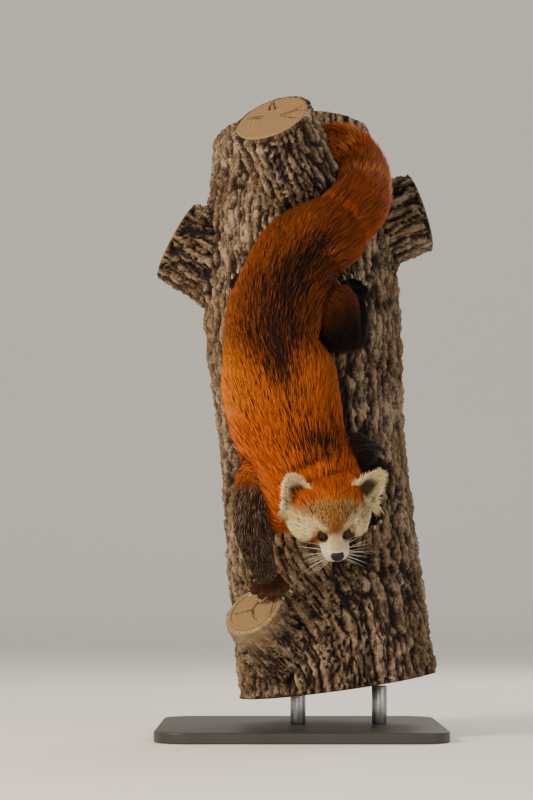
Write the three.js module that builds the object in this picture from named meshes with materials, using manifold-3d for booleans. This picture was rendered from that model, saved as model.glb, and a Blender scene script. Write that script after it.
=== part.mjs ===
// A life-size red panda (Ailurus fulgens) climbing head first down an oak trunk, as a museum shows it.
// The cut length of trunk, with its fork and one sawn branch stub, stands on a plain base by two short rods.
// Millimetres, +Z up, +X to the right of someone who faces the animal's back, -Y towards that person.
// The origin is the middle of the base's underside.
import * as THREE from "three";
import { mergeVertices } from "three/addons/utils/BufferGeometryUtils.js";
import Module from "manifold-3d";

const wasm = await Module();
wasm.setup();

// Driving sizes
const GAP = 0.3; // clearance between pieces that meet
const EYE_RADIUS = 8.3;
const EAR = { length: 76, sunk: 14, halfWidth: 35, thickness: 6.5, cup: 15 };
const TOE = { radius: 8, length: 27 };
const CLAW = { length: 15, radius: 2.5 };
const BASE = { width: 520, depth: 500, thickness: 20, corner: 60, bevel: 3 };
const TRUNK_FOOT = 90; // height of the trunk's sawn foot above the floor
const ROD = { radius: 14, spread: 150 };

// Colours
const COLOUR = {
  rust: 0xa5430f,
  dusk: 0x2a1a14,
  face: 0xc9a673,
  cream: 0xe6dcc0,
  nose: 0x17130f,
  eye: 0x20120b,
  claw: 0x9a8d78,
  bark: 0x6b5643,
  sawn: 0xb08a5c,
  base: 0x2b2a29,
  steel: 0x8c8d8f,
};

const V = (x, y, z) => new THREE.Vector3(x, y, z);
const OUT = V(0, -1, 0); // away from the trunk, towards the viewer
const UP = V(0, 0, 1);

// A repeatable draw between low and high, seeded.
function draws(seed) {
  let state = seed;
  return (low, high) => {
    state = (state * 1664525 + 1013904223) % 4294967296;
    return low + ((high - low) * state) / 4294967296;
  };
}

// Closed geometry with its shared vertices merged, facing outwards, moved outwards by grow.
function welded(geometry, grow) {
  const bare = geometry.clone();
  bare.deleteAttribute("normal");
  bare.deleteAttribute("uv");
  const merged = mergeVertices(bare, 1e-3);
  const place = merged.getAttribute("position");
  const corner = merged.index.array;
  const at = (i) => V().fromBufferAttribute(place, corner[i]);
  let volume = 0;
  for (let i = 0; i < corner.length; i += 3) volume += at(i).dot(at(i + 1).cross(at(i + 2)));
  if (volume < 0) {
    for (let i = 0; i < corner.length; i += 3) {
      [corner[i + 1], corner[i + 2]] = [corner[i + 2], corner[i + 1]];
    }
  }
  merged.computeVertexNormals();
  const normal = merged.getAttribute("normal");
  for (let i = 0; i < place.count; i++) {
    const p = V().fromBufferAttribute(place, i).addScaledVector(V().fromBufferAttribute(normal, i), grow);
    place.setXYZ(i, p.x, p.y, p.z);
  }
  return merged;
}

function solid(geometry, grow = 0) {
  const merged = welded(geometry, grow);
  return new wasm.Manifold(
    new wasm.Mesh({
      numProp: 3,
      vertProperties: merged.getAttribute("position").array,
      triVerts: new Uint32Array(merged.index.array),
    }),
  );
}

const union = (solids) => solids.reduce((whole, piece) => whole.add(piece));

// The largest closed surface of a solid: scraps and sealed hollows go.
function largest(whole) {
  const pieces = whole.decompose();
  return pieces.reduce((best, piece) => (piece.volume() > best.volume() ? piece : best));
}

function geometryOf(whole) {
  const mesh = whole.getMesh();
  const place = new Float32Array(mesh.numVert * 3);
  for (let i = 0; i < mesh.numVert; i++) {
    place.set(mesh.vertProperties.subarray(i * mesh.numProp, i * mesh.numProp + 3), i * 3);
  }
  const geometry = new THREE.BufferGeometry();
  geometry.setAttribute("position", new THREE.BufferAttribute(place, 3));
  geometry.setIndex(new THREE.BufferAttribute(mesh.triVerts, 1));
  geometry.computeVertexNormals();
  return geometry;
}

// A rounded form along a spine. girth has [half width, half depth] at each point of the spine,
// and back is the way its depth points. cap is how far each end takes to round off.
function rounded(spine, girth, back, { sides = 20, rings = 16, cap = null } = {}) {
  const curve = new THREE.CatmullRomCurve3(spine, false, "centripetal");
  const girths = new THREE.CatmullRomCurve3(girth.map(([w, d]) => V(w, d, 0)));
  const length = curve.getLength();
  const ends = cap ?? [(girth[0][0] + girth[0][1]) / 2, (girth.at(-1)[0] + girth.at(-1)[1]) / 2];
  const quarter = Math.PI / 2;
  const straight = Math.max(length - ends[0] - ends[1], 0);
  const meridian = quarter * ends[0] + straight + quarter * ends[1];
  const geometry = new THREE.SphereGeometry(1, sides, rings);
  const place = geometry.getAttribute("position");
  for (let i = 0; i < place.count; i++) {
    const p = V().fromBufferAttribute(place, i);
    const polar = Math.acos(THREE.MathUtils.clamp(p.y, -1, 1));
    const around = Math.hypot(p.x, p.z);
    const way = (polar / Math.PI) * meridian;
    let along;
    let share = 1;
    if (way < quarter * ends[0]) {
      share = Math.sin(way / ends[0]);
      along = ends[0] * (1 - Math.cos(way / ends[0]));
    } else if (way > quarter * ends[0] + straight) {
      const left = (meridian - way) / ends[1];
      share = Math.sin(left);
      along = length - ends[1] * (1 - Math.cos(left));
    } else {
      along = ends[0] + way - quarter * ends[0];
    }
    const u = THREE.MathUtils.clamp(along / length, 0, 1);
    const t = curve.getUtoTmapping(u);
    const middle = curve.getPoint(t);
    const tangent = curve.getTangent(t);
    const depth = back.clone().addScaledVector(tangent, -back.dot(tangent)).normalize();
    const side = tangent.clone().cross(depth);
    const g = girths.getPoint(t);
    if (around < 1e-6 || share < 1e-6) {
      place.setXYZ(i, middle.x, middle.y, middle.z);
      continue;
    }
    middle.addScaledVector(side, (p.x / around) * g.x * share);
    middle.addScaledVector(depth, (p.z / around) * g.y * share);
    place.setXYZ(i, middle.x, middle.y, middle.z);
  }
  return geometry;
}

// A flat, tapered lock of hair: its root is sunk, it rises by lift and bends along the lie.
function lock({ root, out, lie, length, width, thick = 5.5, sink = 9, rise = 0.3, bend = 0 }, grow = 0) {
  const side = lie.clone().cross(out);
  const at = (along, up, off) =>
    root.clone().addScaledVector(lie, along * length).addScaledVector(out, up).addScaledVector(side, off * length);
  const spine = [at(-0.12, -sink, 0), at(0.4, rise * length * 0.72, 0.3 * bend), at(0.92, rise * length, bend)];
  const girth = [[width * 0.4, thick * 0.5], [width * 0.5, thick * 0.5], [width * 0.08, thick * 0.14]];
  return solid(rounded(spine, girth, out, { sides: 4, rings: 4, cap: [width * 0.3, 5] }), grow);
}

// ---- the body plan: spines and girths, out to the tips of the coat
// Torso and neck are one form, parted by a thin cut at the withers.
const BODY = {
  spine: [V(14, -224, 900), V(-16, -244, 830), V(-44, -258, 752), V(-52, -262, 690), V(-38, -263, 615),
    V(-24, -262, 545), V(-8, -260, 490), V(12, -258, 442), V(28, -256, 404), V(40, -258, 376)],
  girth: [[62, 58], [84, 76], [88, 80], [89, 83], [105, 88], [102, 88], [99, 82], [97, 66], [88, 50], [66, 38]],
  cap: [44, 36],
  withers: 0.78,
};
const TAIL = {
  spine: [V(-6, -222, 862), V(34, -226, 884), V(68, -222, 914), V(97, -203, 948), V(110, -170, 988),
    V(105, -138, 1032), V(82, -132, 1062), V(50, -140, 1069), V(24, -143, 1056)],
  girth: [[72, 60], [72, 60], [66, 58], [60, 54], [55, 51], [52, 46], [48, 42], [41, 34], [28, 24]],
  cap: [40, 24],
  core: 0.76,
  cuts: [0.3, 0.53, 0.76],
};

const part = ({ spine, girth, cap }, sides, rings, grow = 0) =>
  solid(rounded(spine, girth, OUT, { sides, rings, cap }), grow);
const BODY_MESH = [20, 22];
const bodyCutter = part(BODY, ...BODY_MESH, GAP);

// A thin slab across a spine, at a share of its length, moved along by shift.
function parting({ spine }, share, shift = 0, reachOut = 320) {
  const curve = new THREE.CatmullRomCurve3(spine, false, "centripetal");
  const way = curve.getTangentAt(share);
  const middle = curve.getPointAt(share).addScaledVector(way, shift);
  const slab = new THREE.BoxGeometry(reachOut, reachOut, GAP);
  slab.applyQuaternion(new THREE.Quaternion().setFromUnitVectors(UP, way));
  return solid(slab.translate(middle.x, middle.y, middle.z));
}

// ---- the head, in its own axes: ahead to the nose, up to the crown, left to the animal's left
const HEAD = { pitch: 50, yaw: 12, roll: 4, centre: V(45, -296, 404) };
const headAxes = (() => {
  const rad = THREE.MathUtils.degToRad;
  const [p, y, r] = [rad(HEAD.pitch), rad(HEAD.yaw), rad(HEAD.roll)];
  const level = V(0, -Math.cos(p), -Math.sin(p));
  const up = V(0, -Math.sin(p), Math.cos(p));
  const across = V(1, 0, 0);
  const ahead = level.clone().multiplyScalar(Math.cos(y)).addScaledVector(across, Math.sin(y));
  const left = across.clone().multiplyScalar(Math.cos(y)).addScaledVector(level, -Math.sin(y));
  for (const axis of [ahead, up, left]) axis.applyAxisAngle(V(0, 1, 0), r);
  return { ahead, up, left };
})();
const headWay = (a, b, c) =>
  V(0, 0, 0)
    .addScaledVector(headAxes.ahead, a)
    .addScaledVector(headAxes.up, b)
    .addScaledVector(headAxes.left, c);
const headPoint = (a, b, c) => headWay(a, b, c).add(HEAD.centre);

// Masses of the head: middle and radii, along ahead, up and left. Those off the middle come in pairs.
const MASSES = [
  { at: [-6, 8, 0], size: [58, 50, 57] }, // braincase
  { at: [28, 12, 0], size: [35, 30, 34] }, // forehead
  { at: [4, -17, 37], size: [42, 33, 34] }, // cheek and its ruff
  { at: [40, -12, 19], size: [24, 20, 18] }, // below the eye
  { at: [64, -16, 0], size: [27, 17, 20] }, // muzzle
  { at: [75, -22, 9], size: [16, 12, 13] }, // whisker pad
  { at: [70, -8, 0], size: [23, 10, 10] }, // bridge
  { at: [60, -31, 0], size: [26, 12, 16] }, // chin
];
const BLEND = 13; // how softly the masses run together

function toEllipsoid(p, at, size) {
  const q = [p[0] - at[0], p[1] - at[1], p[2] - at[2]];
  const near = Math.hypot(q[0] / size[0], q[1] / size[1], q[2] / size[2]);
  const slope = Math.hypot(q[0] / size[0] ** 2, q[1] / size[1] ** 2, q[2] / size[2] ** 2);
  return slope > 0 ? (near * (near - 1)) / slope : -Math.min(...size);
}

function toHead(p) {
  const folded = [p[0], p[1], Math.abs(p[2])];
  return MASSES.reduce((whole, { at, size }) => {
    const next = toEllipsoid(folded, at, size);
    const blend = Math.max(BLEND - Math.abs(whole - next), 0) / BLEND;
    return Math.min(whole, next) - (blend * blend * BLEND) / 4;
  }, 1e3);
}

// The distance from the middle of the head to its surface, along a way in its own axes.
const HEART = [18, -6, 0];
function reach(way) {
  let low = 0;
  let high = 130;
  const at = (r) => toHead([HEART[0] + way[0] * r, HEART[1] + way[1] * r, HEART[2] + way[2] * r]);
  for (let r = high; r > 0; r -= 2) {
    if (at(r) < 0) {
      low = r;
      high = r + 2;
      break;
    }
  }
  for (let i = 0; i < 12; i++) {
    const middle = (low + high) / 2;
    if (at(middle) < 0) low = middle;
    else high = middle;
  }
  return low;
}

function onHead(a, b, c) {
  const way = V(a - HEART[0], b - HEART[1], c - HEART[2]).normalize();
  const r = reach(way.toArray());
  return [HEART[0] + way.x * r, HEART[1] + way.y * r, HEART[2] + way.z * r];
}

const HEAD_MESH = [28, 21];
function headGeometry(sides, rings) {
  const geometry = new THREE.SphereGeometry(1, sides, rings);
  const place = geometry.getAttribute("position");
  for (let i = 0; i < place.count; i++) {
    const polar = Math.acos(THREE.MathUtils.clamp(place.getY(i), -1, 1));
    const spread = Math.PI * (polar / Math.PI) ** 1.35; // finer towards the muzzle
    const around = Math.hypot(place.getX(i), place.getZ(i));
    const [x, z] = around < 1e-6 ? [0, 0] : [place.getX(i) / around, place.getZ(i) / around];
    const way = [Math.cos(spread), Math.sin(spread) * x, Math.sin(spread) * z];
    const r = reach(way);
    const p = headPoint(HEART[0] + way[0] * r, HEART[1] + way[1] * r, HEART[2] + way[2] * r);
    place.setXYZ(i, p.x, p.y, p.z);
  }
  return geometry;
}

// A tube through points of the head, each set on the surface and moved out by lift.
function faceTube(points, radius, lift, rings) {
  const spine = points.map(([a, b, c]) => {
    const on = V(...onHead(a, b, c));
    const out = on.clone().sub(V(...HEART)).normalize();
    on.addScaledVector(out, lift);
    return headPoint(on.x, on.y, on.z);
  });
  const girth = spine.map(() => [radius, radius]);
  return solid(rounded(spine, girth, headWay(0.6, 0.8, 0), { sides: 5, rings, cap: [radius, radius] }));
}

const EYE = { at: [55.5, -2.5, 18.8] }; // middle of the left eyeball
const eyeMiddle = (side) => headPoint(EYE.at[0], EYE.at[1], EYE.at[2] * side);
function ball(middle, radius, sides = 12, rings = 9) {
  return solid(new THREE.SphereGeometry(radius, sides, rings).translate(middle.x, middle.y, middle.z));
}

// The upper and lower lids: arcs that lie on the eyeball round an almond opening.
const LID = { radius: 1.8, halfLength: 8.4, rise: 6.6, fall: 6.2 };
const GAZE = V(0.8, 0.16, 0.58).normalize(); // way the left eye looks, in the head's axes
function lid(side, rise) {
  const gaze = V(GAZE.x, GAZE.y, GAZE.z * side);
  const across = V(0, 0, 1).cross(V(0, 1, 0)).lerp(V(-0.58, 0, 0.8 * side), 1).normalize();
  const above = gaze.clone().cross(across).normalize();
  if (above.y < 0) above.negate();
  const steps = [-1, -0.6, 0, 0.6, 1];
  const spine = steps.map((s) => {
    const x = s * LID.halfLength;
    const y = rise * (1 - s * s);
    const z = Math.sqrt(Math.max((EYE_RADIUS + 0.6) ** 2 - x * x - y * y, 4));
    const p = V(EYE.at[0], EYE.at[1], EYE.at[2] * side);
    p.addScaledVector(across, x).addScaledVector(above, y).addScaledVector(gaze, z);
    return headPoint(p.x, p.y, p.z);
  });
  const form = rounded(spine, spine.map(() => [LID.radius, LID.radius]), headWay(gaze.x, gaze.y, gaze.z), {
    sides: 5, rings: 7, cap: [LID.radius, LID.radius] });
  return solid(form);
}

const MOUTH = [[47, -25, -24], [60, -29, -18], [73, -29, -11], [83, -27, -4], [85, -26, 0], [83, -27, 4],
  [73, -29, 11], [60, -29, 18], [47, -25, 24]];

function headForm() {
  const lips = faceTube(MOUTH, 2.6, -0.9, 14);
  const slit = faceTube(MOUTH, 1.2, 1.1, 14);
  let head = solid(headGeometry(...HEAD_MESH)).add(lips).subtract(slit);
  for (const side of [-1, 1]) {
    head = head.add(lid(side, LID.rise)).add(lid(side, -LID.fall));
    head = head.subtract(ball(eyeMiddle(side), EYE_RADIUS + GAP + 0.2, 12, 9));
  }
  return head;
}
const headCutter = solid(headGeometry(...HEAD_MESH), GAP);

const NOSE = { at: [90, -14.5, 0], size: [8.5, 8, 11] };
function noseForm() {
  const pad = new THREE.SphereGeometry(1, 12, 9);
  const place = pad.getAttribute("position");
  for (let i = 0; i < place.count; i++) {
    const [x, y, z] = [place.getX(i), place.getY(i), place.getZ(i)];
    const narrow = 1 - 0.28 * Math.max(-y, 0); // narrower below
    const p = headPoint(
      NOSE.at[0] + NOSE.size[0] * x,
      NOSE.at[1] + NOSE.size[1] * y,
      NOSE.at[2] + NOSE.size[2] * z * narrow,
    );
    place.setXYZ(i, p.x, p.y, p.z);
  }
  let nose = solid(pad);
  for (const side of [-1, 1]) {
    const bore = rounded(
      [headPoint(99, -16, 3.4 * side), headPoint(94, -15, 5.2 * side), headPoint(91, -13, 8 * side)],
      [[2, 1.8], [2.1, 1.9], [1.6, 1.3]],
      headWay(0, 1, 0),
      { sides: 6, rings: 5, cap: [1.5, 1.5] },
    );
    nose = nose.subtract(solid(bore));
  }
  return largest(nose.subtract(headCutter));
}

// ---- ears: rounded, cupped shells
const EARS = {
  right: { base: [-1, 15, -47], axis: V(-0.4, 0.8, -0.25), face: V(0.86, 0.34, -0.3) },
  left: { base: [-2, 18, 53], axis: V(-0.35, 0.7, 0.55), face: V(0.85, 0.4, 0.25) },
};
function earAxes({ axis, face }) {
  const tip = axis.clone().normalize();
  const front = face.clone().addScaledVector(tip, -face.dot(tip)).normalize();
  return { tip, front, across: tip.clone().cross(front) };
}
function earForm(ear, grow = 0) {
  const { base } = ear;
  const { tip, front, across } = earAxes(ear);
  const geometry = new THREE.SphereGeometry(1, 14, 10);
  const place = geometry.getAttribute("position");
  for (let i = 0; i < place.count; i++) {
    const p = V().fromBufferAttribute(place, i);
    const v = (1 - p.y) / 2; // from the root to the tip
    const around = Math.hypot(p.x, p.z);
    const [x, z] = around < 1e-6 ? [0, 0] : [p.x / around, p.z / around];
    const outline = EAR.halfWidth * Math.min(1, v / 0.1) ** 0.5 * (1 - v) ** 0.52;
    const hollow = EAR.cup * (1 - v) ** 0.7 * (1 - x * x) * Math.min(1, v / 0.3);
    const along = EAR.length * v;
    const deep = z * 0.5 * EAR.thickness * Math.min(1, around * 2.5) - hollow + 0.1 * along * v;
    const q = V(...base)
      .addScaledVector(tip, along - EAR.sunk)
      .addScaledVector(across, x * outline)
      .addScaledVector(front, deep);
    const w = headPoint(q.x, q.y, q.z);
    place.setXYZ(i, w.x, w.y, w.z);
  }
  return solid(geometry, grow);
}

// ---- ruff: locks on the cheeks, round the neck and at the ears' outer rims
// Cheek locks, in the head's axes: where each leaves the cheek, the way it lies and its length.
const CHEEK = [
  { at: [24, -14, 66], lie: V(-0.5, -0.25, 0.62), length: 34 },
  { at: [12, -30, 64], lie: V(-0.5, -0.5, 0.55), length: 36 },
  { at: [24, -38, 50], lie: V(-0.35, -0.75, 0.45), length: 32 },
  { at: [2, -8, 70], lie: V(-0.75, -0.05, 0.5), length: 34 },
  { at: [0, -44, 50], lie: V(-0.6, -0.65, 0.4), length: 34 },
];
const drawRuff = draws(7);
const cheekLooks = [-1, 1].flatMap((side) => CHEEK.map(({ at, lie, length }) => {
  const on = V(...onHead(at[0], at[1], at[2] * side));
  const out = on.clone().sub(V(...HEART)).normalize();
  const way = V(lie.x, lie.y, lie.z * side).normalize();
  const flat = way.clone().addScaledVector(out, -way.dot(out) * 0.6).normalize();
  const world = (v) => headWay(v.x, v.y, v.z);
  return { root: headPoint(on.x, on.y, on.z), out: world(out), lie: world(flat),
    length: length * drawRuff(0.9, 1.1), width: 21, rise: 0.16, bend: drawRuff(-0.1, 0.1) };
}));
// Neck locks fan out behind the jaw, from low on one side over the nape to the other.
const NECK_RUFF = { share: 0.86, from: -12, to: 186, count: 7, length: 46, width: 32 };
function neckLooks() {
  const curve = new THREE.CatmullRomCurve3(BODY.spine, false, "centripetal");
  const girths = new THREE.CatmullRomCurve3(BODY.girth.map(([w, d]) => V(w, d, 0)));
  const t = curve.getUtoTmapping(NECK_RUFF.share);
  const tangent = curve.getTangent(t);
  const depth = OUT.clone().addScaledVector(tangent, -OUT.dot(tangent)).normalize();
  const across = depth.clone().cross(tangent);
  const g = girths.getPoint(t);
  return Array.from({ length: NECK_RUFF.count }, (_, n) => {
    const share = n / (NECK_RUFF.count - 1);
    const turn = THREE.MathUtils.degToRad(THREE.MathUtils.lerp(NECK_RUFF.from, NECK_RUFF.to, share));
    const out = across.clone().multiplyScalar(Math.cos(turn) / g.x).addScaledVector(depth, Math.sin(turn) / g.y);
    const root = curve.getPoint(t)
      .addScaledVector(across, Math.cos(turn) * g.x)
      .addScaledVector(depth, Math.sin(turn) * g.y);
    return { root, out: out.normalize(), lie: tangent, length: NECK_RUFF.length * drawRuff(0.9, 1.1),
      width: NECK_RUFF.width, rise: 0.06, bend: drawRuff(-0.1, 0.1) };
  });
}
// Two fine white locks hang from the outer rim of each ear.
const EAR_TUFTS = [{ along: 12, off: 25, lie: V(0.45, -0.75, 0.45), length: 30 },
  { along: 3, off: 21, lie: V(0.6, -0.75, 0.15), length: 25 }];
function earLocks(name, grow = 0) {
  const side = name === "left" ? 1 : -1;
  const { tip, front, across } = earAxes(EARS[name]);
  const outer = across.clone().multiplyScalar(Math.sign(across.z * side));
  const world = (v) => headWay(v.x, v.y, v.z);
  return EAR_TUFTS.map(({ along, off, lie, length }) => {
    const root = V(...EARS[name].base).addScaledVector(tip, along).addScaledVector(outer, off);
    const way = V(lie.x, lie.y, lie.z * side).normalize();
    const out = front.clone().addScaledVector(way, -front.dot(way)).normalize();
    return lock({ root: headPoint(root.x, root.y, root.z), out: world(out), lie: world(way), length, width: 9,
      thick: 4, sink: 1, rise: 0.12 }, grow);
  });
}

// ---- legs: spines and girths down to the wrist or the heel
const LEGS = {
  fore_right: {
    upper: { spine: [V(-52, -252, 505), V(-78, -262, 460), V(-87, -276, 405), V(-86, -277, 370)],
      girth: [[44, 46], [38, 41], [33, 37], [28, 31]] },
    lower: { spine: [V(-82, -272, 430), V(-87, -278, 384), V(-80, -262, 340), V(-68, -236, 306)],
      girth: [[31, 35], [31, 34], [29, 30], [24, 22]] },
    paw: { wrist: V(-64, -229, 303), toward: V(0.1, 0.42, -0.9), back: V(-0.1, -0.92, 0.2), spread: 19 },
  },
  fore_left: {
    upper: { spine: [V(40, -246, 500), V(80, -242, 508), V(108, -226, 500), V(117, -214, 486)],
      girth: [[44, 44], [37, 38], [31, 33], [28, 30]] },
    lower: { spine: [V(104, -228, 502), V(120, -210, 474), V(122, -188, 442), V(119, -177, 422)],
      girth: [[29, 31], [29, 29], [25, 23], [21, 19]] },
    paw: { wrist: V(119, -177, 424), toward: V(-0.06, 0.2, -1), back: V(0.5, -0.8, 0), spread: 14 },
  },
  hind_right: {
    upper: { spine: [V(-40, -238, 800), V(-76, -240, 776), V(-97, -226, 742), V(-104, -206, 722)],
      girth: [[54, 56], [50, 52], [38, 40], [28, 30]] },
    lower: { spine: [V(-106, -206, 722), V(-108, -190, 748), V(-105, -174, 776), V(-103, -168, 792)],
      girth: [[27, 27], [26, 24], [24, 22], [22, 20]] },
    paw: { wrist: V(-103, -168, 788), toward: V(0.08, 0.02, 1), back: V(-0.55, -0.8, 0), spread: 13 },
  },
  hind_left: {
    upper: { spine: [V(24, -236, 800), V(52, -240, 756), V(70, -230, 716), V(80, -214, 690)],
      girth: [[54, 56], [50, 52], [38, 40], [27, 30]] },
    lower: { spine: [V(82, -214, 694), V(92, -198, 722), V(95, -183, 756), V(93, -178, 780)],
      girth: [[25, 27], [27, 26], [26, 24], [24, 21]] },
    paw: { wrist: V(93, -178, 774), toward: V(-0.05, 0.02, 1), back: V(0.45, -0.88, 0), spread: 13 },
  },
};

const legPart = (length, grow) => part(length, 11, 7, grow);

function pawAxes({ toward, back }) {
  const ahead = toward.clone().normalize();
  const top = back.clone().addScaledVector(ahead, -back.dot(ahead)).normalize();
  return { ahead, top, side: ahead.clone().cross(top) };
}

// Where each toe starts and ends, from the palm's middle: five toes in a fan.
function toeSpines(paw) {
  const { ahead, top, side } = pawAxes(paw);
  return [-2, -1, 0, 1, 2].map((n) => {
    const angle = THREE.MathUtils.degToRad(n * paw.spread);
    const way = ahead.clone().multiplyScalar(Math.cos(angle)).addScaledVector(side, Math.sin(angle));
    const reachOut = 26 - 2.2 * n * n; // the middle toe leads
    const knuckle = paw.wrist.clone().addScaledVector(way, reachOut - 8).addScaledVector(side, n * 4.5);
    const bend = knuckle.clone().addScaledVector(way, TOE.length * 0.55).addScaledVector(top, 3.5);
    const tip = knuckle.clone().addScaledVector(way, TOE.length).addScaledVector(top, -1.5);
    return { spine: [knuckle, bend, tip], way, top };
  });
}

function pawForm(paw, grow = 0) {
  const { ahead, top } = pawAxes(paw);
  const palm = rounded(
    [paw.wrist.clone().addScaledVector(ahead, -10), paw.wrist.clone().addScaledVector(ahead, 14),
      paw.wrist.clone().addScaledVector(ahead, 34).addScaledVector(top, -1)],
    [[21, 18], [25, 17], [20, 11]],
    top,
    { sides: 10, rings: 6 },
  );
  const toes = toeSpines(paw).map(({ spine }) =>
    solid(
      rounded(spine, [[TOE.radius, 8], [TOE.radius, 7.5], [TOE.radius * 0.8, 6]], top, {
        sides: 5, rings: 5, cap: [5, 6] }),
      grow,
    ),
  );
  return union([solid(palm, grow), ...toes]);
}

function clawForm({ spine, way, top }) {
  const root = spine[2].clone().addScaledVector(way, -5).addScaledVector(top, 2);
  const hook = root.clone().addScaledVector(way, CLAW.length * 0.6).addScaledVector(top, 0.5);
  const point = root.clone().addScaledVector(way, CLAW.length).addScaledVector(top, -5);
  const form = rounded([root, hook, point],
    [[CLAW.radius * 0.8, CLAW.radius], [CLAW.radius * 0.7, CLAW.radius * 0.95], [0.5, 0.5]],
    top, { sides: 5, rings: 5, cap: [1.5, 0.5] });
  return solid(form);
}

// ---- the perch: a forked oak trunk and one sawn stub
// A log along a spine, sawn flat at both ends, with ridges of bark that wander round it.
function log(spine, girth, { sides = 30, rings = 12, ridge = 3.5, seed = 5, ends = null } = {}) {
  const curve = new THREE.CatmullRomCurve3(spine, false, "centripetal");
  const girths = new THREE.CatmullRomCurve3(girth.map((r) => V(r, 0, 0)));
  const draw = draws(seed);
  const crest = Array.from({ length: sides }, () => draw(-1, 1));
  const geometry = new THREE.CylinderGeometry(1, 1, 1, sides, rings);
  const place = geometry.getAttribute("position");
  for (let i = 0; i < place.count; i++) {
    const p = V().fromBufferAttribute(place, i);
    const t = THREE.MathUtils.clamp(0.5 + p.y, 0, 1);
    const middle = curve.getPoint(t);
    const tangent = t < 0.001 && ends?.[0] ? ends[0] : t > 0.999 && ends?.[1] ? ends[1] : curve.getTangent(t);
    const depth = OUT.clone().addScaledVector(tangent, -OUT.dot(tangent)).normalize();
    const side = tangent.clone().cross(depth);
    const around = Math.hypot(p.x, p.z);
    if (around > 1e-6) {
      const slot = (Math.atan2(p.z, p.x) / (2 * Math.PI) + 1) * sides;
      const turn = Math.round(slot) % sides;
      const rough = ridge * (crest[turn] * Math.cos(t * 5) + crest[(turn + 7) % sides] * Math.sin(t * 5));
      const r = girths.getPoint(t).x + rough;
      middle.addScaledVector(side, (p.x / around) * r).addScaledVector(depth, (p.z / around) * r);
    }
    place.setXYZ(i, middle.x, middle.y, middle.z);
  }
  return geometry;
}

const PERCH = {
  trunk: { spine: [V(71, 0, TRUNK_FOOT), V(60, 0, 170), V(41, 0, 339), V(25, 0, 525), V(9, 0, 713), V(-1, 8, 880),
    V(-8, 30, 1020), V(-13, 46, 1125)], girth: [182, 180, 177, 172, 182, 184, 162, 148],
    look: { sides: 28, rings: 11, seed: 11, ends: [UP, UP] } },
  limb_left: { spine: [V(-20, 8, 790), V(-105, 4, 850), V(-180, 0, 892), V(-232, 0, 920)],
    girth: [92, 88, 82, 79], look: { sides: 16, rings: 4, seed: 3 } },
  limb_right: { spine: [V(30, 8, 880), V(115, 4, 930), V(180, 0, 958), V(228, 0, 974)],
    girth: [86, 82, 77, 75], look: { sides: 16, rings: 4, seed: 8 } },
  limb_front: { spine: [V(26, -40, 890), V(14, -105, 960), V(-24, -190, 1042), V(-52, -238, 1100)],
    girth: [72, 76, 76, 76], look: { sides: 16, rings: 5, seed: 21 } },
  stub: { spine: [V(-20, -100, 146), V(-68, -155, 205), V(-86, -177, 230)], girth: [68, 60, 57],
    look: { sides: 18, rings: 3, seed: 2, ridge: 1.5 } },
};
const perchForm = (name, grow = 0) => solid(log(PERCH[name].spine, PERCH[name].girth, PERCH[name].look), grow);
const perchNames = Object.keys(PERCH);

// ---- the stand
function baseGeometry() {
  const { width, depth, thickness, corner, bevel } = BASE;
  const [w, d] = [width / 2 - bevel, depth / 2 - bevel];
  const outline = new THREE.Shape();
  outline.moveTo(-w + corner, -d);
  outline.lineTo(w - corner, -d).absarc(w - corner, -d + corner, corner, -Math.PI / 2, 0);
  outline.lineTo(w, d - corner).absarc(w - corner, d - corner, corner, 0, Math.PI / 2);
  outline.lineTo(-w + corner, d).absarc(-w + corner, d - corner, corner, Math.PI / 2, Math.PI);
  outline.lineTo(-w, -d + corner).absarc(-w + corner, -d + corner, corner, Math.PI, 1.5 * Math.PI);
  return new THREE.ExtrudeGeometry(outline, {
    depth: thickness - 2 * bevel, bevelSize: bevel, bevelThickness: bevel, bevelSegments: 1, curveSegments: 4,
  }).translate(0, 0, bevel);
}
const rodGeometry = () => {
  const height = TRUNK_FOOT - BASE.thickness - 2 * GAP;
  return new THREE.CylinderGeometry(ROD.radius, ROD.radius, height, 16).rotateX(Math.PI / 2);
};

// ---- putting it together
const model = new THREE.Group();
const animal = new THREE.Group();
const perch = new THREE.Group();
const stand = new THREE.Group();
model.add(animal, perch, stand);

const finish = (color, roughness = 0.85, metalness = 0) =>
  new THREE.MeshStandardMaterial({ color, roughness, metalness });
function place(group, name, geometry, material) {
  const mesh = new THREE.Mesh(geometry, material);
  mesh.name = name;
  group.add(mesh);
  return mesh;
}
const keep = (group, name, whole, material) => place(group, name, geometryOf(largest(whole)), material);
const less = (whole, cutters) => cutters.reduce((left, cutter) => left.subtract(cutter), whole);

// The perch's pieces meet face to face: each limb is cut back by the trunk.
const wood = {};
for (const name of perchNames) {
  const cutters = name === "trunk" ? [] : [perchForm("trunk", GAP)];
  wood[name] = largest(less(perchForm(name), cutters));
  keep(perch, `perch_${name}`, wood[name], finish(COLOUR.bark, 0.95));
}
const perchCutters = perchNames.map((name) => perchForm(name, GAP));

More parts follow.
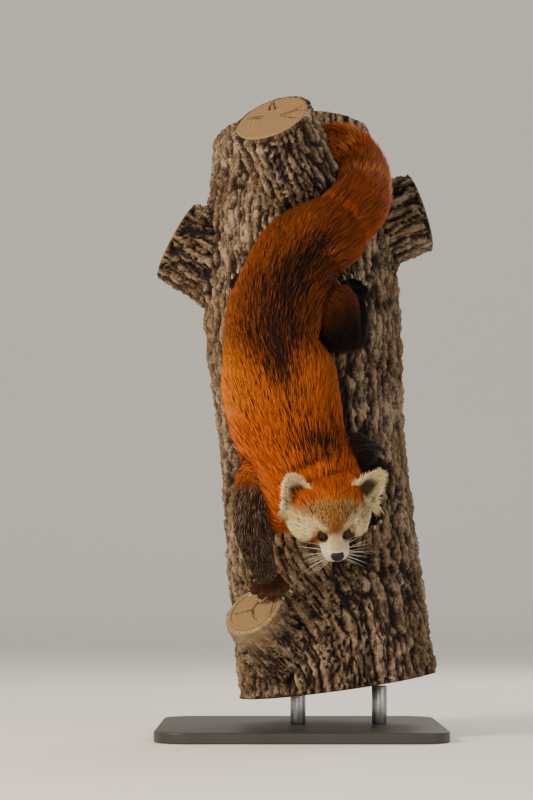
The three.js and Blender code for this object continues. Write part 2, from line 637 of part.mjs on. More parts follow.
// Torso, neck and head meet at one another's surface.
// Room in front of each ear's cup.
const cups = Object.values(EARS).map(({ base, axis, face }) => {
  const middle = V(...base).addScaledVector(axis.clone().normalize(), 26).addScaledVector(face, 16);
  return ball(headPoint(...middle.toArray()), 27, 9, 7);
});
const earCutters = Object.values(EARS).map((ear) => earForm(ear, 2 * GAP));
const bodyPieces = less(part(BODY, ...BODY_MESH), [headCutter, ...cups, ...earCutters, ...perchCutters,
  parting(BODY, BODY.withers)]).decompose().sort((a, b) => b.volume() - a.volume());
keep(animal, "torso", bodyPieces[0], finish(COLOUR.rust));
const cheekLocks = cheekLooks.map((look) => less(lock(look), [bodyCutter, ...earCutters]));
const limbCutters = Object.values(LEGS).flatMap((leg) => [legPart(leg.upper, GAP), legPart(leg.lower, GAP)]);
const neckLocks = neckLooks().map((look) => less(lock(look), limbCutters));
const cheekCutters = cheekLooks.map((look) => lock(look, 2 * GAP));
keep(animal, "neck", less(union([bodyPieces[1], ...neckLocks]), [headCutter, ...cups, ...cheekCutters, ...earCutters,
  ...Object.keys(EARS).flatMap((name) => earLocks(name, 2 * GAP)),
  parting(BODY, BODY.withers), ...perchCutters]), finish(COLOUR.rust));
keep(animal, "head", union([headForm(), ...cheekLocks]), finish(COLOUR.face));
keep(animal, "nose", noseForm(), finish(COLOUR.nose, 0.4));
for (const [name, side] of [["right", -1], ["left", 1]]) {
  keep(animal, `eye_${name}`, ball(eyeMiddle(side), EYE_RADIUS), finish(COLOUR.eye, 0.08));
  const ear = less(union([earForm(EARS[name]), ...earLocks(name)]), [headCutter]);
  keep(animal, `ear_${name}`, ear, finish(COLOUR.cream));
}

// Each leg is an upper part, a lower part and a paw with its claws.
for (const [name, leg] of Object.entries(LEGS)) {
  const around = [bodyCutter, headCutter, ...perchCutters];
  const coat = name.startsWith("hind") ? COLOUR.rust : COLOUR.dusk; // the thigh has the body's colour
  keep(animal, `${name}_upper`, less(legPart(leg.upper), around), finish(coat));
  const lower = less(legPart(leg.lower), [legPart(leg.upper, GAP), ...around]);
  keep(animal, `${name}_lower`, lower, finish(COLOUR.dusk));
  const pawCutters = [legPart(leg.upper, GAP), legPart(leg.lower, GAP), ...around];
  keep(animal, `${name}_paw`, less(pawForm(leg.paw), pawCutters), finish(COLOUR.dusk));
  const grip = pawForm(leg.paw, GAP);
  toeSpines(leg.paw).forEach((toe, n) => {
    const claw = less(clawForm(toe), [grip, ...perchCutters, bodyCutter]);
    if (!claw.isEmpty()) keep(animal, `${name}_claw_${n + 1}`, claw, finish(COLOUR.claw, 0.5));
  });
}

// The tail: a core in four lengths, and locks that lie along it towards the tip, each rooted in its length.
const tailCurve = new THREE.CatmullRomCurve3(TAIL.spine, false, "centripetal");
const tailGirths = new THREE.CatmullRomCurve3(TAIL.girth.map(([w, d]) => V(w, d, 0)));
const TAIL_LOCKS = { rings: 9, around: 6, first: 0.1, last: 0.93, length: 66, width: 37 };
const coreGirth = TAIL.girth.map(([w, d]) => [w * TAIL.core, d * TAIL.core]);
const tailCore = (grow) => part({ ...TAIL, girth: coreGirth }, 14, 20, grow);
const outOfWay = [bodyCutter, ...perchCutters];
function tailLengths(whole, shift) {
  const pieces = less(whole, TAIL.cuts.map((share) => parting(TAIL, share, shift, 150))).decompose();
  const along = (piece) => {
    const { min, max } = piece.boundingBox();
    const middle = V(...min).add(V(...max)).multiplyScalar(0.5);
    const shares = Array.from({ length: 101 }, (_, n) => n / 100);
    const far = (u) => tailCurve.getPointAt(u).distanceTo(middle);
    return shares.reduce((best, u) => (far(u) < far(best) ? u : best));
  };
  return pieces
    .sort((a, b) => b.volume() - a.volume())
    .slice(0, TAIL.cuts.length + 1)
    .sort((a, b) => along(a) - along(b));
}
const tailLocks = TAIL.cuts.map(() => []).concat([[]]);
const drawTail = draws(47);
for (let ring = 0; ring < TAIL_LOCKS.rings; ring++) {
  for (let n = 0; n < TAIL_LOCKS.around; n++) {
    const { first, last, rings, around } = TAIL_LOCKS;
    const u = first + ((last - first) * (ring + drawTail(-0.25, 0.25))) / (rings - 1);
    const turn = ((n + 0.5 * (ring % 2) + drawTail(-0.18, 0.18)) / around) * 2 * Math.PI;
    const share = THREE.MathUtils.clamp(u, 0.04, 0.97);
    const t = tailCurve.getUtoTmapping(share);
    const tangent = tailCurve.getTangent(t);
    const depth = OUT.clone().addScaledVector(tangent, -OUT.dot(tangent)).normalize();
    const side = depth.clone().cross(tangent);
    const g = tailGirths.getPoint(t);
    const out = side.clone().multiplyScalar(Math.cos(turn) / g.x).addScaledVector(depth, Math.sin(turn) / g.y);
    out.normalize();
    const root = tailCurve.getPoint(t)
      .addScaledVector(side, Math.cos(turn) * g.x * TAIL.core)
      .addScaledVector(depth, Math.sin(turn) * g.y * TAIL.core);
    const tip = tailCurve.getTangentAt(Math.min(share + 0.09, 1)); // the lie follows the tail's own curve
    const lie = tangent.clone().add(tip).normalize();
    const size = 1 - 0.3 * share;
    const clear = g.x * (1 - TAIL.core) * 0.92; // how far the tips may stand off the core
    const length = TAIL_LOCKS.length * size * drawTail(0.88, 1.12);
    const look = { root, out, lie, length, width: TAIL_LOCKS.width * size * drawTail(0.9, 1.1),
      rise: clear / length, bend: drawTail(-0.12, 0.12) };
    tailLocks[TAIL.cuts.filter((cut) => cut < share).length].push(look);
  }
}
const cores = tailLengths(tailCore(0), 0);
const grownCore = tailCore(GAP);
const afterCut = tailLengths(grownCore, -GAP); // each length as what lies before it must clear it
const beforeCut = tailLengths(grownCore, GAP); // and as what lies after it must
const done = [];
cores.forEach((core, n) => {
  const others = [...beforeCut.slice(0, n), ...afterCut.slice(n + 1)];
  const hair = tailLocks[n].map((look) => less(lock(look), others));
  const earlier = tailLocks.slice(0, n).flat().map((look) => lock(look, 2.5 * GAP));
  const whole = less(union([core, ...hair]), [...earlier, ...outOfWay, ...done]);
  done.push(whole);
  keep(animal, `tail_${n + 1}`, whole, finish(COLOUR.rust));
});

place(stand, "stand_base", baseGeometry(), finish(COLOUR.base, 0.5));
[-0.5, 0.5].forEach((n, i) => {
  const rod = place(stand, `stand_rod_${i + 1}`, rodGeometry(), finish(COLOUR.steel, 0.35, 1));
  rod.position.set(PERCH.trunk.spine[0].x + n * ROD.spread, 0, (TRUNK_FOOT + BASE.thickness) / 2);
});

export default model;
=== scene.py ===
"""A life-size red panda climbing head first down a forked oak trunk, as a natural history museum shows it.

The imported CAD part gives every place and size. Here the trunk gets its furrowed bark, the animal one skin
with a coat of solid tufts, and the stand its finish. Metres, +Z up, the animal's back towards -Y.
"""

import math

import bmesh
import bpy
import numpy as np
from mathutils import Matrix, Vector, noise


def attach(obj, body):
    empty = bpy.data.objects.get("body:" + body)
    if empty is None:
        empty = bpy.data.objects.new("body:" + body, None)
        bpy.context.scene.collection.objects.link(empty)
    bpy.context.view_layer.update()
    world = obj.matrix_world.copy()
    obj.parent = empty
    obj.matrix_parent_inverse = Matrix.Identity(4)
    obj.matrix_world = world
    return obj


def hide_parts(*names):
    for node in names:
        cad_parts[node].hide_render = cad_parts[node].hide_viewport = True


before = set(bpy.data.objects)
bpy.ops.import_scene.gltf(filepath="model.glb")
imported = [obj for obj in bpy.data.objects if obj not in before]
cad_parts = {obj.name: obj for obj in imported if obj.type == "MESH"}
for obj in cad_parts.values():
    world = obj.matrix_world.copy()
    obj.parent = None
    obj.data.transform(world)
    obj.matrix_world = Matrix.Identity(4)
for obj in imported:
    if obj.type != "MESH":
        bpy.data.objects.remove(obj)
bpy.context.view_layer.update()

# ---- Stand ----------------------------------------------------------------------------------------------
# The real piece is a 20 mm steel plate with rounded corners and two short rods that carry the trunk.
# The plate is cut, its edges broken and the whole powder coated; the rods are turned and brushed.
BASE = {"width": 0.520, "depth": 0.500, "thickness": 0.020, "corner": 0.060, "edge": 0.003}
ROD = {"radius": 0.014, "foot": 0.0203, "top": 0.0897, "middle": 0.071, "apart": 0.150}


def paint(code):
    """An sRGB hex colour as linear red, green, blue and alpha."""
    parts = [int(code[i : i + 2], 16) / 255 for i in (0, 2, 4)]
    return [p / 12.92 if p <= 0.04045 else ((p + 0.055) / 1.055) ** 2.4 for p in parts] + [1.0]


def add(tree, kind, inputs=None, **settings):
    """A shader node with its settings, and with its sockets' values or the sockets that they come from."""
    made = tree.nodes.new(kind)
    for name, value in settings.items():
        setattr(made, name, value)
    for name, value in (inputs or {}).items():
        if isinstance(value, bpy.types.NodeSocket):
            tree.links.new(value, made.inputs[name])
        else:
            made.inputs[name].default_value = value
    return made


def finish_of(name, **shader):
    """A new material with its tree and its Principled shader, whose plain values are given."""
    material = bpy.data.materials.new(name)
    material.use_nodes = True
    surface = material.node_tree.nodes["Principled BSDF"]
    for socket, value in shader.items():
        surface.inputs[socket.replace("_", " ")].default_value = value
    return material, material.node_tree, surface


def stops(ramp, colours):
    """The colour ramp's stops, as pairs of a place and an sRGB hex colour."""
    row = ramp.color_ramp.elements
    while len(row) < len(colours):
        row.new(1.0)
    for stop, (place, code) in zip(row, colours):
        stop.position = place
        stop.color = paint(code)


def piece(name, shape, material, smooth=True, nodes=()):
    """An object that rides on the body, with its finish and the CAD nodes that it stands for."""
    if isinstance(shape, bmesh.types.BMesh):
        mesh = bpy.data.meshes.new(name)
        shape.to_mesh(mesh)
        shape.free()
    else:
        mesh = shape
    mesh.name = name
    mesh.polygons.foreach_set("use_smooth", np.full(len(mesh.polygons), smooth))
    mesh.materials.clear()
    mesh.materials.append(material)
    made = bpy.data.objects.new(name, mesh)
    bpy.context.scene.collection.objects.link(made)
    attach(made, "root")
    if nodes:
        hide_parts(*nodes)
    return made


# Powder coat: baked polyester, near black, satin, with a fine orange-peel grain of about 1 mm.
powder, tree, surface = finish_of("powder_coated_steel", Roughness=0.46)
where = add(tree, "ShaderNodeTexCoord").outputs["Object"]
peel = add(tree, "ShaderNodeTexNoise", {"Vector": where, "Scale": 900.0, "Detail": 2.0})
tone = add(tree, "ShaderNodeTexNoise", {"Vector": where, "Scale": 9.0, "Detail": 4.0})
shade = add(tree, "ShaderNodeValToRGB", {"Fac": tone.outputs["Fac"]})
stops(shade, [(0.3, "262524"), (0.7, "31302e")])
tree.links.new(shade.outputs["Color"], surface.inputs["Base Color"])
relief = add(tree, "ShaderNodeBump", {"Height": peel.outputs["Fac"], "Strength": 0.25, "Distance": 0.0003})
tree.links.new(relief.outputs["Normal"], surface.inputs["Normal"])

# Brushed steel: turned on a lathe, so its fine lines run round the rod.
steel, tree, surface = finish_of("brushed_steel", Metallic=1.0, Roughness=0.32)
where = add(tree, "ShaderNodeTexCoord").outputs["Object"]
lines = add(tree, "ShaderNodeMapping", {"Vector": where, "Scale": (20.0, 20.0, 2500.0)})
grain = add(tree, "ShaderNodeTexNoise", {"Vector": lines.outputs["Vector"], "Scale": 1.0, "Detail": 3.0})
shade = add(tree, "ShaderNodeValToRGB", {"Fac": grain.outputs["Fac"]})
stops(shade, [(0.3, "86878a"), (0.7, "a9aaac")])
tree.links.new(shade.outputs["Color"], surface.inputs["Base Color"])
relief = add(tree, "ShaderNodeBump", {"Height": grain.outputs["Fac"], "Strength": 0.2, "Distance": 0.0002})
tree.links.new(relief.outputs["Normal"], surface.inputs["Normal"])

plate = bmesh.new()
bmesh.ops.create_cube(plate, size=1.0)
bmesh.ops.scale(plate, verts=plate.verts, vec=(BASE["width"], BASE["depth"], BASE["thickness"]))
bmesh.ops.translate(plate, verts=plate.verts, vec=(0, 0, BASE["thickness"] / 2))
upright = [e for e in plate.edges if abs(e.verts[0].co.z - e.verts[1].co.z) > 0.01]
bmesh.ops.bevel(plate, geom=upright, offset=BASE["corner"], segments=14, affect="EDGES", profile=0.5, material=-1)
rim = [e for e in plate.edges if abs(e.verts[0].co.z - e.verts[1].co.z) < 1e-6]
rim = [e for e in rim if e.calc_face_angle(0) > 1.0]
bmesh.ops.bevel(plate, geom=rim, offset=BASE["edge"], segments=3, affect="EDGES", profile=0.5, material=-1)
piece("stand_plate", plate, powder, smooth=False, nodes=["stand_base"])

for number, side in ((1, -0.5), (2, 0.5)):
    rod = bmesh.new()
    tall = ROD["top"] - ROD["foot"]
    bmesh.ops.create_cone(rod, cap_ends=True, segments=48, radius1=ROD["radius"], radius2=ROD["radius"], depth=tall)
    bmesh.ops.bevel(rod, geom=[e for e in rod.edges if e.calc_face_angle(0) > 1.0], offset=0.0012, segments=2,
                    affect="EDGES", profile=0.5, material=-1)
    at = (ROD["middle"] + side * ROD["apart"], 0, (ROD["top"] + ROD["foot"]) / 2)
    bmesh.ops.translate(rod, verts=rod.verts, vec=at)
    piece(f"stand_post_{number}", rod, steel, nodes=[f"stand_rod_{number}"])

# ---- Oak trunk ------------------------------------------------------------------------------------------
# The real piece is a forked length of old oak, cut from a felled tree and dried with its bark on.
# The bark is a thick cork, split by growth into upright ridges that part and meet again, with dark furrows.
OUTWARD = np.array([0.0, -1.0, 0.0])
LOGS = {  # millimetres: points along each log, and its radius at each
    "trunk": ([(71, 0, 90), (60, 0, 170), (41, 0, 339), (25, 0, 525), (9, 0, 713), (-1, 8, 880), (-8, 30, 1020),
               (-13, 46, 1125)], [182, 180, 177, 172, 182, 184, 162, 148]),
    "limb_left": ([(-20, 8, 790), (-105, 4, 850), (-180, 0, 892), (-232, 0, 920)], [92, 88, 82, 79]),
    "limb_right": ([(30, 8, 880), (115, 4, 930), (180, 0, 958), (228, 0, 974)], [86, 82, 77, 75]),
    "limb_front": ([(26, -40, 890), (14, -105, 960), (-24, -190, 1042), (-52, -238, 1100)], [72, 76, 76, 76]),
    "stub": ([(-20, -100, 146), (-68, -155, 205), (-86, -177, 230)], [68, 60, 57]),
}
BARK = {"voxel": 0.0046, "furrow": 0.012, "ridge": 0.0155, "run": 0.17, "plate": 0.030}
STUB_FACE = np.array([-86.0, -177.0, 230.0]) / 1000


def spline(points, t):
    """Places on a centripetal Catmull-Rom curve through the points, for t from 0 to 1 over its stretches."""
    p = np.asarray(points, float)
    p = np.vstack([2 * p[0] - p[1], p, 2 * p[-1] - p[-2]])
    s = np.clip(np.asarray(t, float), 0, 1) * (len(p) - 3)
    i = np.minimum(s.astype(int), len(p) - 4)
    w = (s - i)[:, None]
    a, b, c, d = p[i], p[i + 1], p[i + 2], p[i + 3]
    gap = [np.maximum(np.linalg.norm(y - x, axis=1), 1e-9)[:, None] ** 0.5 for x, y in ((a, b), (b, c), (c, d))]
    start = ((b - a) / gap[0] - (c - a) / (gap[0] + gap[1]) + (c - b) / gap[1]) * gap[1]
    end = ((c - b) / gap[1] - (d - b) / (gap[1] + gap[2]) + (d - c) / gap[2]) * gap[1]
    return b + start * w + (3 * (c - b) - 2 * start - end) * w**2 + (2 * (b - c) + start + end) * w**3


def unit(v):
    return v / np.maximum(np.linalg.norm(v, axis=-1, keepdims=True), 1e-12)


def stations(points, girth, shares, back=OUTWARD):
    """Middle, tangent, side, depth and girth at shares of a curve's length. Millimetres come in, metres go out."""
    fine = np.linspace(0, 1, 401)
    path = spline(points, fine)
    run = np.concatenate([[0], np.cumsum(np.linalg.norm(np.diff(path, axis=0), axis=1))])
    t = np.interp(np.clip(shares, 0, 1) * run[-1], run, fine)
    middle = spline(points, t)
    tangent = unit(spline(points, np.minimum(t + 0.004, 1)) - spline(points, np.maximum(t - 0.004, 0)))
    depth = unit(back - tangent * (tangent @ back)[:, None])
    side = np.cross(tangent, depth)
    wide = spline([(*np.atleast_1d(g), 0, 0)[:3] for g in girth], t)
    return middle / 1000, tangent, side, depth, wide / 1000, run[-1] / 1000


def remeshed(shape, voxel, smooth):
    """One closed surface round overlapping closed forms, even in its faces and smoothed."""
    mesh = bpy.data.meshes.new("rough")
    shape.to_mesh(mesh)
    shape.free()
    rough = bpy.data.objects.new("rough", mesh)
    bpy.context.scene.collection.objects.link(rough)
    one = rough.modifiers.new("one", "REMESH")
    one.mode = "VOXEL"
    one.voxel_size = voxel
    if smooth:
        soft = rough.modifiers.new("soft", "SMOOTH")
        soft.factor = 0.5
        soft.iterations = smooth
    done = bpy.data.meshes.new_from_object(rough.evaluated_get(bpy.context.evaluated_depsgraph_get()))
    bpy.data.objects.remove(rough)
    bpy.data.meshes.remove(mesh)
    return done


def places(mesh):
    flat = np.empty(len(mesh.vertices) * 3)
    mesh.vertices.foreach_get("co", flat)
    return flat.reshape(-1, 3)


def ways(mesh):
    flat = np.empty(len(mesh.vertices) * 3)
    mesh.vertex_normals.foreach_get("vector", flat)
    return flat.reshape(-1, 3)


def ease(low, high, x):
    """0 below low, 1 above high, smooth between."""
    s = np.clip((np.asarray(x, float) - low) / (high - low), 0, 1)
    return s * s * (3 - 2 * s)


timber = bmesh.new()
for points, radii in LOGS.values():
    sides, steps = 56, 30
    log = bmesh.ops.create_grid(timber, x_segments=sides, y_segments=steps, size=0.5)["verts"]
    flat = np.array([v.co for v in log])
    middle, tangent, side, depth, wide, _ = stations(points, [(r, r) for r in radii], flat[:, 1] + 0.5)
    turn = (flat[:, 0] * 2 * math.pi)[:, None]
    round_it = middle + (side * np.cos(turn) + depth * np.sin(turn)) * (wide[:, :1] + 0.002)
    for vert, at in zip(log, round_it):
        vert.co = at
bmesh.ops.remove_doubles(timber, verts=timber.verts, dist=1e-5)
bmesh.ops.holes_fill(timber, edges=[e for e in timber.edges if e.is_boundary], sides=0)
bmesh.ops.recalc_face_normals(timber, faces=timber.faces)
trunk = remeshed(timber, BARK["voxel"], 2)

# Every point of the bark belongs to the log whose surface is nearest, and is measured round and along it.
wood_at, wood_out = places(trunk), ways(trunk)
best = np.full(len(wood_at), 1e9)
local = np.zeros((len(wood_at), 3))
grown = np.zeros((len(wood_at), 3))
for number, (points, radii) in enumerate(LOGS.values()):
    middle, tangent, side, depth, wide, length = stations(points, [(r, r) for r in radii], np.linspace(0, 1, 60))
    near = np.argmin(((wood_at[:, None, :] - middle[None]) ** 2).sum(2), axis=1)
    off = wood_at - middle[near]
    along = (off * tangent[near]).sum(1)
    off = off - tangent[near] * along[:, None]
    miss = np.abs(np.linalg.norm(off, axis=1) - wide[near, 0]) + 0.5 * np.maximum(np.abs(along) - 0.01, 0)
    turn = np.arctan2((off * depth[near]).sum(1), (off * side[near]).sum(1))
    mean = wide[:, 0].mean()
    here = miss < best
    best[here] = miss[here]
    run = near / 59 * length + along
    local[here] = np.stack([np.cos(turn) * mean, np.sin(turn) * mean, run + number * 3], axis=1)[here]
    grown[here] = tangent[near][here]
# Below the stub the ridges sweep round it, down and to the right.
from_stub = np.linalg.norm((wood_at - STUB_FACE) * (1, 1, 0.8), axis=1)
sweep = 0.85 * np.exp(-((from_stub / 0.17) ** 2)) * (wood_at[:, 2] - STUB_FACE[2])
local[:, 0] += sweep
local[:, 1] += 0.3 * sweep

ridges = np.zeros(len(wood_at))
for i, (x, y, z) in enumerate(local):
    bend = noise.noise_vector((x * 15, y * 15, z * 8)) * 0.8 + noise.noise_vector((x * 60, y * 60, z * 35)) * 0.35
    q = Vector((x / BARK["ridge"], y / BARK["ridge"], z / BARK["run"])) + bend
    near = noise.voronoi(q)[0]
    ridge = min(max((near[1] - near[0] - 0.03) / 0.15, 0), 1)
    q = Vector((x / BARK["plate"] + 7, y / BARK["plate"], z / BARK["plate"] * 1.1)) + bend * 1.5
    near = noise.voronoi(q)[0]
    split = min(max((near[1] - near[0]) / 0.15, 0), 1)
    rough = noise.fractal((x * 90, y * 90, z * 40), 0.7, 2.2, 4)
    ridges[i] = ridge * (0.74 + 0.26 * split) * (0.85 + 0.40 * rough) + 0.10 * rough
ridges = np.clip(ridges, 0, 1.15)
callus = np.exp(-((np.maximum(from_stub - 0.048, 0) / 0.014) ** 2))  # smooth wood that healed round the stub
ridges = ridges * (1 - callus) + 0.8 * callus
flank = 1 - np.abs((wood_out * grown).sum(1)) ** 4  # none on the sawn ends
trunk.vertices.foreach_set("co", (wood_at - wood_out * ((1 - ridges) * BARK["furrow"] * flank)[:, None]).ravel())
for name, values in (("ridge", ridges), ("callus", callus)):
    trunk.attributes.new(name, "FLOAT", "POINT").data.foreach_set("value", values)
trunk.attributes.new("grain", "FLOAT_VECTOR", "POINT").data.foreach_set("vector", local.ravel())
trunk.update()
print("trunk faces", len(trunk.polygons))

# Oak bark: dry cork, matt, grey on the weathered ridges and brown in their sides; the furrows are painted nearly black,
# partly darker cork and partly painted shade.
bark, tree, surface = finish_of("oak_bark", Roughness=0.92, Specular_IOR_Level=0.25)
where = add(tree, "ShaderNodeTexCoord").outputs["Object"]
height = add(tree, "ShaderNodeAttribute", attribute_name="ridge").outputs["Fac"]
healed = add(tree, "ShaderNodeAttribute", attribute_name="callus").outputs["Fac"]
growth = add(tree, "ShaderNodeAttribute", attribute_name="grain").outputs["Vector"]  # round and along the log
long_way = add(tree, "ShaderNodeMapping", {"Vector": growth, "Scale": (1.0, 1.0, 0.3)})  # cork fibres run along it
fibre = add(tree, "ShaderNodeTexNoise", {"Vector": long_way.outputs["Vector"], "Scale": 260.0, "Detail": 7.0,
                                         "Roughness": 0.65})
stray = add(tree, "ShaderNodeTexNoise", {"Vector": growth, "Scale": 45.0, "Detail": 3.0})
pull = add(tree, "ShaderNodeVectorMath", {0: stray.outputs["Color"], 1: (0.022, 0.022, 0.03)}, operation="MULTIPLY")
bent = add(tree, "ShaderNodeVectorMath", {0: long_way.outputs["Vector"], 1: pull.outputs["Vector"]}, operation="ADD")
flakes = add(tree, "ShaderNodeTexVoronoi", {"Vector": bent.outputs["Vector"], "Scale": 125.0},  # flakes of 8 mm
             feature="DISTANCE_TO_EDGE")
flake = add(tree, "ShaderNodeMapRange", {"Value": flakes.outputs["Distance"], "From Min": 0.0, "From Max": 0.16,
                                         "To Min": 0.0, "To Max": 1.0})
patch = add(tree, "ShaderNodeTexNoise", {"Vector": where, "Scale": 11.0, "Detail": 5.0})
raised = add(tree, "ShaderNodeMath", {0: fibre.outputs["Fac"], 1: 0.9, 2: -0.62}, operation="MULTIPLY_ADD")
parted = add(tree, "ShaderNodeMath", {0: flake.outputs["Result"], 1: 0.24, 2: raised.outputs["Value"]},
             operation="MULTIPLY_ADD")
level = add(tree, "ShaderNodeMath", {0: height, 1: parted.outputs["Value"]}, operation="ADD")
# Painted shade: the ramp runs nearly to black at the furrows' floor, over the cork's own darker brown there.
cork_and_furrow_shade = add(tree, "ShaderNodeValToRGB", {"Fac": level.outputs["Value"]})
stops(cork_and_furrow_shade, [(0.05, "17110d"), (0.36, "40322a"), (0.68, "6d5b49"), (1.0, "9c8870")])
weather = add(tree, "ShaderNodeValToRGB", {"Fac": patch.outputs["Fac"]})
stops(weather, [(0.42, "b6a88e"), (0.62, "ffffff")])
aged = add(tree, "ShaderNodeMix", data_type="RGBA", blend_type="MULTIPLY")
aged.inputs[0].default_value = 0.7
tree.links.new(cork_and_furrow_shade.outputs["Color"], aged.inputs[6])
tree.links.new(weather.outputs["Color"], aged.inputs[7])
whole = add(tree, "ShaderNodeMix", {0: healed}, data_type="RGBA")
lip = add(tree, "ShaderNodeValToRGB", {"Fac": fibre.outputs["Fac"]})
stops(lip, [(0.3, "6e5a40"), (0.7, "ab9470")])
tree.links.new(aged.outputs[2], whole.inputs[6])
tree.links.new(lip.outputs["Color"], whole.inputs[7])
tree.links.new(whole.outputs[2], surface.inputs["Base Color"])
relief = add(tree, "ShaderNodeBump", {"Height": parted.outputs["Value"], "Strength": 1.0, "Distance": 0.0045})
tree.links.new(relief.outputs["Normal"], surface.inputs["Normal"])
piece("oak_trunk", trunk, bark, nodes=[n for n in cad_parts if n.startswith("perch_")])

# ---- Sawn faces -----------------------------------------------------------------------------------------
# The real faces are end grain: yearly rings round an off-centre pith, with checks where the wood dried.
# The stub's face is old and tan, with checks in a Y and a ring crack inside its healed lip.
SAWN = {  # share of the log where the face is, radius as a share of the log's, seed of its checks
    "trunk_top": ("trunk", 1, 0.90, 3), "left": ("limb_left", 1, 0.88, 5), "right": ("limb_right", 1, 0.88, 8),
    "front": ("limb_front", 1, 0.88, 11), "stub": ("stub", 1, 0.84, 2), "trunk_foot": ("trunk", 0, 0.90, 9),
}
STUB_CHECKS = [(100, 0.0, 0.80), (215, 0.0, 0.86), (-32, 0.0, 0.92)]  # way in degrees, inner and outer share

# Sawn oak: end grain gone tan and dull in the open, with rings drawn 5 mm apart so that they show.
end_grain, tree, surface = finish_of("sawn_oak", Roughness=0.8, Specular_IOR_Level=0.3)
where = add(tree, "ShaderNodeUVMap", uv_map="face").outputs["UV"]  # ten units to the metre, the pith at 0
drift = add(tree, "ShaderNodeTexNoise", {"Vector": where, "Scale": 3.0, "Detail": 3.0})
rings = add(tree, "ShaderNodeTexWave", {"Vector": where, "Scale": 6.0, "Distortion": 2.2, "Detail": 2.0,
                                        "Detail Scale": 2.0}, wave_type="RINGS", rings_direction="Z")
ray = add(tree, "ShaderNodeTexNoise", {"Vector": where, "Scale": 60.0, "Detail": 4.0})
mixed = add(tree, "ShaderNodeMath", {0: rings.outputs["Fac"], 1: 0.22, 2: ray.outputs["Fac"]}, operation="MULTIPLY_ADD")
tan = add(tree, "ShaderNodeValToRGB", {"Fac": mixed.outputs["Value"]})
stops(tan, [(0.36, "54402a"), (0.60, "7d6240"), (0.85, "9a7f58")])
deep = add(tree, "ShaderNodeAttribute", attribute_name="check").outputs["Fac"]
cracked = add(tree, "ShaderNodeMix", {0: deep}, data_type="RGBA")
tree.links.new(tan.outputs["Color"], cracked.inputs[6])
cracked.inputs[7].default_value = paint("2a1a10")
tree.links.new(cracked.outputs[2], surface.inputs["Base Color"])
relief = add(tree, "ShaderNodeBump", {"Height": mixed.outputs["Value"], "Strength": 0.5, "Distance": 0.0008})
tree.links.new(relief.outputs["Normal"], surface.inputs["Normal"])

for name, (log, end, share, seed) in SAWN.items():
    points, radii = LOGS[log]
    middle, tangent, side, depth, wide, _ = stations(points, [(r, r) for r in radii], np.array([float(end)]))
    way = tangent[0] * (1 if end else -1)
    across, upward, radius = side[0], depth[0], wide[0, 0] * share
    face = bmesh.new()
    layer = face.loops.layers.uv.new("face")
    crack = face.verts.layers.float.new("check")
    cells = 84
    verts = bmesh.ops.create_grid(face, x_segments=cells, y_segments=cells, size=1.0)["verts"]
    flat = np.array([v.co for v in verts])[:, :2]
    big = np.maximum(np.abs(flat[:, 0]), np.abs(flat[:, 1]))
    wider = np.abs(flat[:, 0]) >= np.abs(flat[:, 1])
    first = np.where(wider, flat[:, 0], flat[:, 1])
    other = np.where(wider, flat[:, 1], flat[:, 0])
    angle = np.where(np.abs(first) > 1e-9, math.pi / 4 * other / np.where(np.abs(first) > 1e-9, first, 1), 0)
    disc = np.where(wider[:, None], np.stack([first * np.cos(angle), first * np.sin(angle)], 1),
                    np.stack([first * np.sin(angle), first * np.cos(angle)], 1))
    far = np.hypot(disc[:, 0], disc[:, 1])
    turn = np.arctan2(disc[:, 1], disc[:, 0])
    draw = np.random.default_rng(seed)
    checks = STUB_CHECKS if name == "stub" else [
        (draw.uniform(0, 360), draw.uniform(0.2, 0.6), draw.uniform(0.8, 0.99)) for _ in range(7)]
    depth_of = np.zeros(len(disc))
    for degrees, inner, outer in checks:
        bent = turn - math.radians(degrees) - 0.07 * np.sin(far * 7 + degrees)
        aside = far * np.abs(np.sin(bent)) * radius * 1000
        ahead = (np.cos(bent) > 0) & (far > inner) & (far < outer)
        wide_there = 1.5 * np.clip((outer - far) * 4, 0, 1) + 0.4
        depth_of = np.maximum(depth_of, np.where(ahead, np.exp(-((aside / wide_there) ** 2)), 0))
    if name == "stub":
        ring_crack = 1.4 * np.exp(-(((far - 0.90) * radius * 1000 / 1.5) ** 2)) * ease(-0.7, 0.2, np.cos(turn + 0.9))
        depth_of = np.maximum(depth_of, ring_crack)
    saw = 0.25 * np.sin(disc[:, 0] * radius * 1000 * 1.1 + 2 * np.sin(disc[:, 1] * 4))
    lift = 0.0022 - 0.0032 * np.clip(depth_of, 0, 1.2) + 0.0006 * saw - 0.002 * ease(0.96, 1.0, far)
    at = middle[0] + (disc[:, :1] * across + disc[:, 1:] * upward) * radius + way * lift[:, None]
    for vert, there, plain, deep_in in zip(verts, at, disc * radius * 10, depth_of):
        vert.co = there
        vert[crack] = min(float(deep_in), 1.0)
        for loop in vert.link_loops:
            loop[layer].uv = plain
    edge = [e for e in face.edges if e.is_boundary]
    skirt = bmesh.ops.extrude_edge_only(face, edges=edge)["geom"]
    low = [g for g in skirt if isinstance(g, bmesh.types.BMVert)]
    bmesh.ops.translate(face, verts=low, vec=-way * 0.006)
    bmesh.ops.contextual_create(face, geom=[g for g in skirt if isinstance(g, bmesh.types.BMEdge)])
    bmesh.ops.recalc_face_normals(face, faces=face.faces)
    piece(f"sawn_{name}", face, end_grain)

